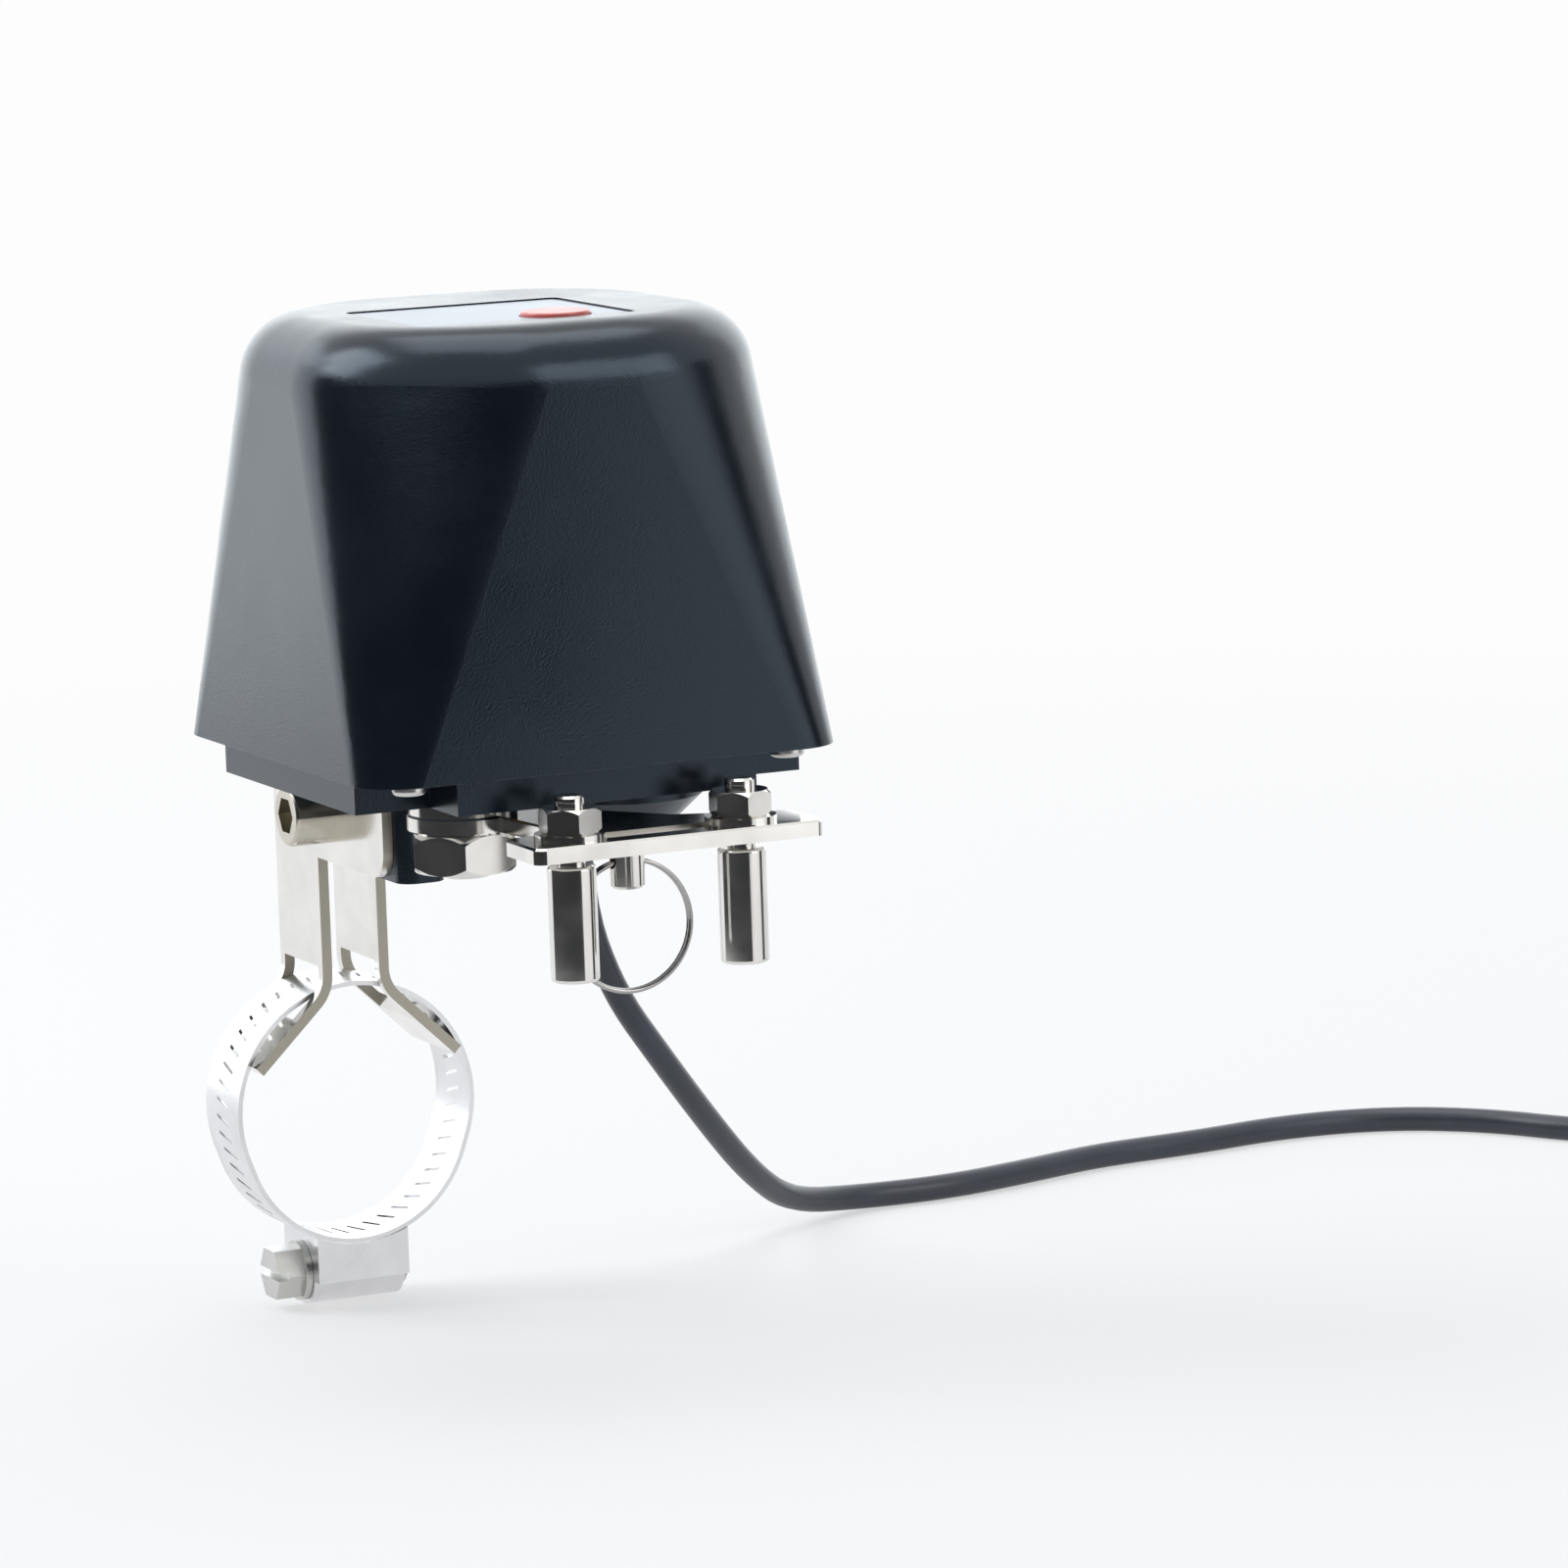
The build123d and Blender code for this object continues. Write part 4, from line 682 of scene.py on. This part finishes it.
class ACTUATOR_OT_make_clamp_band(bpy.types.Operator):
    """Make the slotted clamp band around the feet"""

    bl_idname = "actuator.make_clamp_band"
    bl_label = "Clamp Band"

    def execute(self, context):
        band = context.scene.actuator_band
        low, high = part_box("clamp_band")
        thickness = high.z - band.rise - band.top_radius
        pipe_radius = -low.z - thickness
        low_radius = pipe_radius + thickness / 2
        high_radius = band.top_radius + thickness / 2
        dip = math.asin((high_radius - low_radius) / band.rise)
        spots = arc(low_radius, 0.0, math.pi + dip, math.pi - 2 * dip)
        spots += arc(high_radius, band.rise, -dip, math.pi + 2 * dip)
        curve = bpy.data.curves.new("band_line", "CURVE")
        curve.dimensions = "3D"
        spline = curve.splines.new("POLY")
        spline.points.add(len(spots) - 1)
        for point, (y, z) in zip(spline.points, spots):
            point.co = (0.0, y, z, 1.0)
        spline.use_cyclic_u = True
        source = bpy.data.objects.new("band_source", curve)
        piece = grown("slotted_band", source, perforated_band_tree(), {
            "Width": high.x - low.x, "Thickness": thickness, "Pitch": band.pitch,
            "Slot Length": band.slot_length, "Slot Width": band.slot_width, "Slant": band.slant,
            "Material": bpy.data.materials["band_stainless"]})
        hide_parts("clamp_band")
        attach(piece, "bracket")
        return {"FINISHED"}


# Depth of a thread per pitch, how far its ridge is sunk in its core, and the plain ends
THREAD_DEPTH = 0.32
THREAD_SUNK = 0.75
STUD_END = 0.3 * MM
BOLT_END = 0.1 * MM


def wind_thread(name, radius, pitch, place, length, body):
    """A thread that rides on a body."""
    depth = pitch * THREAD_DEPTH
    piece = wound(name, place, radius - depth * THREAD_SUNK, pitch, length / pitch, depth, THREAD_SIDES,
                  "nickel_turned")
    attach(piece, body)


class ACTUATOR_OT_make_threads(bpy.types.Operator):
    """Wind the threads on the posts' studs and the pivot bolt's end"""

    bl_idname = "actuator.make_threads"
    bl_label = "Threads"

    def execute(self, context):
        thread = context.scene.actuator_thread
        for side in ("left", "right"):
            post = "finger_post_" + side
            middle = box_middle(post)
            nut_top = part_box("post_nut_" + side)[1].z
            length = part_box(post)[1].z - nut_top - STUD_END
            place = Matrix.Translation((middle.x, middle.y, nut_top))
            wind_thread("stud_thread_" + side, thread.stud_radius, thread.stud_pitch, place, length,
                        "post_" + side)
        middle = box_middle("pivot_bolt")
        nut_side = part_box("pivot_nut")[1].y
        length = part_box("pivot_bolt")[1].y - nut_side - BOLT_END
        place = Matrix.Translation((middle.x, nut_side, middle.z)) @ Matrix.Rotation(-math.pi / 2, 4, "X")
        wind_thread("bolt_thread", thread.bolt_radius, thread.bolt_pitch, place, length, "bracket")
        return {"FINISHED"}


class ACTUATOR_OT_make_springs(bpy.types.Operator):
    """Wind the pin's and the button's springs"""

    bl_idname = "actuator.make_springs"
    bl_label = "Springs"

    def execute(self, context):
        spring = context.scene.actuator_spring
        for node, joint, wire, turns, travel in (
                ("pin_spring", "pin_pull", spring.pin_wire, spring.pin_turns, spring.pin_travel),
                ("button_spring", "button_press", spring.button_wire, spring.button_turns,
                 spring.button_travel)):
            low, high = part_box(node)
            middle = box_middle(node)
            height = high.z - low.z - 2 * wire
            place = Matrix.Translation((middle.x, middle.y, low.z + wire))
            # The coils wear the frame's own finish of this name
            piece = wound(node + "_coil", place, (high.x - low.x) / 2 - wire, height / turns, float(turns),
                          wire, WIRE_SIDES, "zinc_steel")
            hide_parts(node)
            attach(piece, "housing")
            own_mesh(piece)
        return {"FINISHED"}


# The cord's route, the same points as in the part's source, in millimetres
CORD_ROUTE = [
    (21.6, 29.5, 45.55),
    (21.6, 29.5, 32.0),
    (20.5, 34.5, 18.0),
    (16.5, 43.5, 6.5),
    (10.0, 53.5, -5.0),
    (1.5, 64.0, -15.5),
    (-8.5, 75.0, -23.0),
    (-14.5, 89.0, -25.1),
    (-13.5, 104.0, -25.1),
    (-17.0, 119.0, -25.1),
    (-21.5, 134.0, -25.1),
    (-21.8, 151.0, -25.1),
    (-24.5, 168.0, -25.1),
    (-21.5, 185.0, -25.1),
    (-11.0, 197.5, -25.1),
    (3.5, 205.0, -25.1),
]

# Heights: the table, the cord on it, the plug's axis, and how far the tail sinks before the plug
TABLE_Z = -27.0 * MM
CORD_Z = TABLE_Z + CORD_RADIUS
PLUG_Z = TABLE_Z + 5.5 * MM
TAIL_DIP = 0.3 * MM

# The coil: its centre, its heading, the straight run into it and the control points of a half turn
COIL_CENTRE = (12.0 * MM, 250.0 * MM, 0.0)
COIL_HEADING = math.radians(36.87)
COIL_LEAD = 15 * MM
COIL_STEPS = 6

# Steps of the cord's mesh from one control point to the next, and around it
LENGTH_STEPS = 6
ROUND_STEPS = 5


def coil_place():
    """The coil's own frame in the part's frame."""
    return Matrix.Translation(COIL_CENTRE) @ Matrix.Rotation(COIL_HEADING - math.pi / 2, 4, "Z")


def coil_ends(cord):
    """The ends of the coil's half turns: inward in the lower layer, outward in the upper one."""
    step = (2 * cord.radius + cord.side_gap) / 2
    layer = 2 * cord.radius + cord.layer_gap
    turns = cord.half_turns
    ends = [Vector(((-1) ** k * (cord.coil_radius - k * step), 0, CORD_Z)) for k in range(turns + 1)]
    inner = cord.coil_radius - turns * step
    for k in range(turns + 2):
        ends.append(Vector(((-1) ** (turns + 1 + k) * (inner + k * step), 0, CORD_Z + layer)))
    return ends


def cord_points(cord):
    """The control points from the gland to the plug."""
    place = coil_place()
    ends = coil_ends(cord)
    lead = 2 * cord.radius
    points = [Vector(point) * MM for point in CORD_ROUTE]
    points.append(place @ (ends[0] - Vector((0, lead + COIL_LEAD, 0))))
    points.append(place @ (ends[0] - Vector((0, lead, 0))))
    side = 1
    reach = 1 / math.cos(math.pi / COIL_STEPS / 2)
    for first, second in zip(ends, ends[1:]):
        middle = (first + second) / 2
        spoke = first - middle
        ahead = Vector((0, side * spoke.length, 0))
        for k in range(COIL_STEPS):
            angle = math.pi * (k + 0.5) / COIL_STEPS
            points.append(place @ (middle + (spoke * math.cos(angle) + ahead * math.sin(angle)) * reach))
        side = -side
    tail = ends[-1]
    for x, y, z in ((0, 0, tail.z), (0, 12, tail.z), (3, 26, tail.z - TAIL_DIP), (9, 40, PLUG_Z),
                    (18, 52, PLUG_Z)):
        points.append(place @ Vector((tail.x + x * MM, lead + y * MM, z)))
    return points


class ACTUATOR_OT_make_cord(bpy.types.Operator):
    """Lay the supply cord from the gland to its plug"""

    bl_idname = "actuator.make_cord"
    bl_label = "Supply Cord"

    def execute(self, context):
        cord = context.scene.actuator_cord
        points = cord_points(cord)
        curve = bpy.data.curves.new("supply_cord", "CURVE")
        curve.dimensions = "3D"
        spline = curve.splines.new("NURBS")
        spline.points.add(len(points) - 1)
        for target, point in zip(spline.points, points):
            target.co = (*point, 1.0)
        spline.order_u = 3
        spline.use_endpoint_u = True
        spline.resolution_u = LENGTH_STEPS
        curve.resolution_u = LENGTH_STEPS
        curve.bevel_depth = cord.radius
        curve.bevel_resolution = ROUND_STEPS
        curve.use_fill_caps = True
        curve.materials.append(bpy.data.materials["cord_jacket"])
        piece = shown("supply_cord", curve)
        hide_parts("cord", "cord_coil", "cord_tail")
        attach(piece, "housing")
        return {"FINISHED"}


# The stage's camera: the photograph's size, the lens, and where the middle of the cover's rim lies
FRAME_PIXELS = 1600
FOCAL_PIXELS = 7700
RIM_PIXEL = (519.83, 752.12)
RIM_CENTRE = Vector((40.6, 11.5, 59.3)) * MM
SENSOR = 36.0
CLIP_START = 0.05
CLIP_END = 20.0

# The floor: its half width, its gap below the table's plane and its colour
FLOOR_REACH = 12.0
FLOOR_GAP = 0.05 * MM
FLOOR_COLOUR = (0.82, 0.82, 0.83)

# The floor's white: its strength, its share near the actuator and in mirrors, and the distances
# over which it becomes whole
WHITE_STRENGTH = 0.98
WHITE_NEAR = 0.55
WHITE_MIRRORED = 0.6
FADE_START = 0.12
FADE_END = 0.7

# Screens that only mirrors see. Each dark one has a name, a start and an end about the actuator in
# degrees, and a lower edge
SCREEN_CENTRE = Vector((0.05, 0.01, 0))
SCREEN_STEPS = 24
DARK_LIGHT = (0.030, 0.031, 0.034)
DARK_RADIUS = 0.30
DARK_TOP = 0.20
DARK_SCREENS = (
    ("screen_front", -127, 14, TABLE_Z),
    ("screen_high", 14, 21, 0.05),
    ("screen_gap", 63, 78, TABLE_Z),
)
PALE_LIGHT = (0.94, 0.98, 1.0)
PALE_STRENGTH = 1.85
PALE_RADIUS = 0.9
PALE_TOP = 0.7

# The world's colour and strength as a light
WORLD_COLOUR = (0.85, 0.9, 1.0)
WORLD_STRENGTH = 0.40

# Lamps: name, share of the key's power, size, place, target and colour
LAMPS = (
    ("key", 1.0, (0.7, 0.7), (-0.42, -0.78, 0.85), RIM_CENTRE, WHITE),
    ("fill", 0.3, (0.6, 0.5), (0.85, 0.6, 0.62), RIM_CENTRE, WHITE),
    ("back_left", 0.3, (0.9, 0.7), (-0.75, -0.45, 0.33), RIM_CENTRE, (0.86, 0.93, 1.0)),
    ("top", 0.6, (0.8, 0.8), (-0.1, 0.1, 1.1), RIM_CENTRE, WHITE),
    ("stripe", 0.024, (0.34, 0.3), (0.45, 0.31, 0.12), (0.08, 0.02, 0.04), WHITE),
)


def floor_material():
    """A pale matt floor that turns to plain white for the camera away from the actuator."""
    material, kit, shader = new_material("floor_white")
    kit.feed(shader, {"Base Color": opaque(FLOOR_COLOUR), "Roughness": 0.9})
    path = kit.add("ShaderNodeLightPath").outputs
    away = kit.vector("LENGTH", {0: kit.object_place()})
    far = kit.ramp(away.outputs["Value"], FADE_START, FADE_END, WHITE_NEAR, 1.0)
    seen = kit.calculate("MULTIPLY", path["Is Camera Ray"], far)
    mirrored = kit.calculate("MULTIPLY", path["Is Glossy Ray"], WHITE_MIRRORED)
    share = kit.calculate("MAXIMUM", seen, mirrored)
    white = kit.add("ShaderNodeEmission", {"Color": opaque(WHITE), "Strength": WHITE_STRENGTH})
    mix = kit.add("ShaderNodeMixShader", {0: share, 1: shader.outputs["BSDF"], 2: white.outputs[0]})
    kit.feed(material.node_tree.nodes["Material Output"], {"Surface": mix.outputs[0]})
    return material


def plain_light(name, colour, strength=1.0):
    """A surface of one even brightness."""
    material, kit, _ = new_material(name)
    light = kit.add("ShaderNodeEmission", {"Color": opaque(colour), "Strength": strength})
    kit.feed(material.node_tree.nodes["Material Output"], {"Surface": light.outputs[0]})
    return material


def stage_piece(name, points, faces, material):
    """A stage mesh in the part's frame."""
    mesh = bpy.data.meshes.new(name)
    mesh.from_pydata(points, [], faces)
    mesh.materials.append(material)
    piece = shown(name, mesh)
    return piece


def mirror_screen(name, start, end, radius, low, high, material):
    """A standing screen along an arc about the actuator, seen only in reflections."""
    start, end = math.radians(start), math.radians(end)
    points, faces = [], []
    for k in range(SCREEN_STEPS + 1):
        angle = start + (end - start) * k / SCREEN_STEPS
        out = SCREEN_CENTRE + Vector((math.cos(angle), math.sin(angle), 0)) * radius
        points += [(out.x, out.y, low), (out.x, out.y, high)]
    for k in range(SCREEN_STEPS):
        faces.append((2 * k, 2 * k + 2, 2 * k + 3, 2 * k + 1))
    screen = stage_piece(name, points, faces, material)
    screen.visible_camera = False
    screen.visible_diffuse = False
    screen.visible_shadow = False


def area_lamp(name, power, size, place, target, colour):
    """A soft lamp that faces a target."""
    data = bpy.data.lights.new(name, "AREA")
    data.shape = "RECTANGLE"
    data.size, data.size_y = size
    data.energy = power
    data.color = colour
    lamp = shown(name, data)
    lamp.location = place
    lamp.rotation_euler = (Vector(target) - Vector(place)).to_track_quat("-Z", "Y").to_euler()


def place_camera(scene, stage):
    """The camera, where the photograph was taken from."""
    turn, rise, roll = stage.turn, stage.rise, stage.roll
    back = Vector((math.cos(turn) * math.cos(rise), -math.sin(turn) * math.cos(rise), math.sin(rise)))
    level = Vector((math.sin(turn), math.cos(turn), 0))
    over = back.cross(level)
    right = level * math.cos(roll) - over * math.sin(roll)
    up = over * math.cos(roll) + level * math.sin(roll)
    half = FRAME_PIXELS / 2
    across = (RIM_PIXEL[0] - half) / FOCAL_PIXELS * stage.distance
    high = (half - RIM_PIXEL[1]) / FOCAL_PIXELS * stage.distance
    data = bpy.data.cameras.new("photo_camera")
    data.sensor_width = SENSOR
    data.lens = FOCAL_PIXELS / FRAME_PIXELS * SENSOR
    data.clip_start = CLIP_START
    data.clip_end = CLIP_END
    camera = shown("photo_camera", data)
    spot = RIM_CENTRE - right * across - up * high + back * stage.distance
    camera.matrix_world = Matrix.Translation(spot) @ Matrix((right, up, back)).transposed().to_4x4()
    scene.camera = camera


def soft_world(scene):
    """A soft pale blue world that the camera, mirrors and glass see as plain white."""
    world = bpy.data.worlds.new("studio")
    scene.world = world
    world.use_nodes = True
    kit = NodeKit(world.node_tree)
    soft = world.node_tree.nodes["Background"]
    kit.feed(soft, {"Color": opaque(WORLD_COLOUR), "Strength": WORLD_STRENGTH})
    plain = kit.add("ShaderNodeBackground", {"Color": opaque(WHITE), "Strength": 1.0})
    path = kit.add("ShaderNodeLightPath").outputs
    clear = kit.calculate("MAXIMUM", path["Is Camera Ray"], path["Is Transmission Ray"])
    seen = kit.calculate("MAXIMUM", clear, path["Is Glossy Ray"])
    mix = kit.add("ShaderNodeMixShader", {0: seen, 1: soft.outputs[0], 2: plain.outputs[0]})
    kit.feed(world.node_tree.nodes["World Output"], {"Surface": mix.outputs[0]})


class ACTUATOR_OT_make_stage(bpy.types.Operator):
    """Make the floor, the mirrored screens, the lamps, the world and the camera"""

    bl_idname = "actuator.make_stage"
    bl_label = "Stage"

    def execute(self, context):
        stage = context.scene.actuator_stage
        place_camera(context.scene, stage)
        far = FLOOR_REACH
        ground = TABLE_Z - FLOOR_GAP
        stage_piece("floor",
                    [(-far, -far, ground), (far, -far, ground), (far, far, ground), (-far, far, ground)],
                    [(0, 1, 2, 3)], floor_material())
        dark = plain_light("dark_screen", DARK_LIGHT)
        for name, start, end, low in DARK_SCREENS:
            mirror_screen(name, start, end, DARK_RADIUS, low, DARK_TOP, dark)
        glow = plain_light("pale_screen", PALE_LIGHT, PALE_STRENGTH)
        mirror_screen("screen_back", 110, 230, PALE_RADIUS, TABLE_Z, PALE_TOP, glow)
        for name, share, size, place, target, colour in LAMPS:
            area_lamp(name, stage.key_power * share, size, place, target, colour)
        soft_world(context.scene)
        context.scene.view_settings.view_transform = "Standard"
        return {"FINISHED"}


OPERATORS = (
    ACTUATOR_OT_finish_frame,
    ACTUATOR_OT_make_clamp_band,
    ACTUATOR_OT_make_threads,
    ACTUATOR_OT_make_springs,
    ACTUATOR_OT_make_cord,
    ACTUATOR_OT_make_stage,
)


class ACTUATOR_PT_panel(bpy.types.Panel):
    """Lists the actuator's settings and steps"""

    bl_idname = "ACTUATOR_PT_panel"
    bl_label = "Valve Actuator"
    bl_space_type = "VIEW_3D"
    bl_region_type = "UI"
    bl_category = "Actuator"

    def draw(self, context):
        for name, group in SETTINGS.items():
            box = self.layout.box()
            box.label(text=group.__doc__)
            for prop in group.__annotations__:
                box.prop(getattr(context.scene, name), prop)
        for operator in OPERATORS:
            self.layout.operator(operator.bl_idname)


def register():
    """Adds the settings to the scene, and the operators and the panel."""
    for group in SETTINGS.values():
        bpy.utils.register_class(group)
    for name, group in SETTINGS.items():
        setattr(bpy.types.Scene, name, PointerProperty(type=group))
    for operator in OPERATORS:
        bpy.utils.register_class(operator)
    bpy.utils.register_class(ACTUATOR_PT_panel)


def unregister():
    """Takes away what register added."""
    bpy.utils.unregister_class(ACTUATOR_PT_panel)
    for operator in reversed(OPERATORS):
        bpy.utils.unregister_class(operator)
    for name in SETTINGS:
        delattr(bpy.types.Scene, name)
    for group in reversed(SETTINGS.values()):
        bpy.utils.unregister_class(group)


def main():
    """Registers the tools and makes every piece in order."""
    register()
    bpy.ops.actuator.finish_frame()
    bpy.ops.actuator.make_stage()
    bpy.ops.actuator.make_cord()
    bpy.ops.actuator.make_clamp_band()
    bpy.ops.actuator.make_threads()
    bpy.ops.actuator.make_springs()


if __name__ == "__main__":
    main()
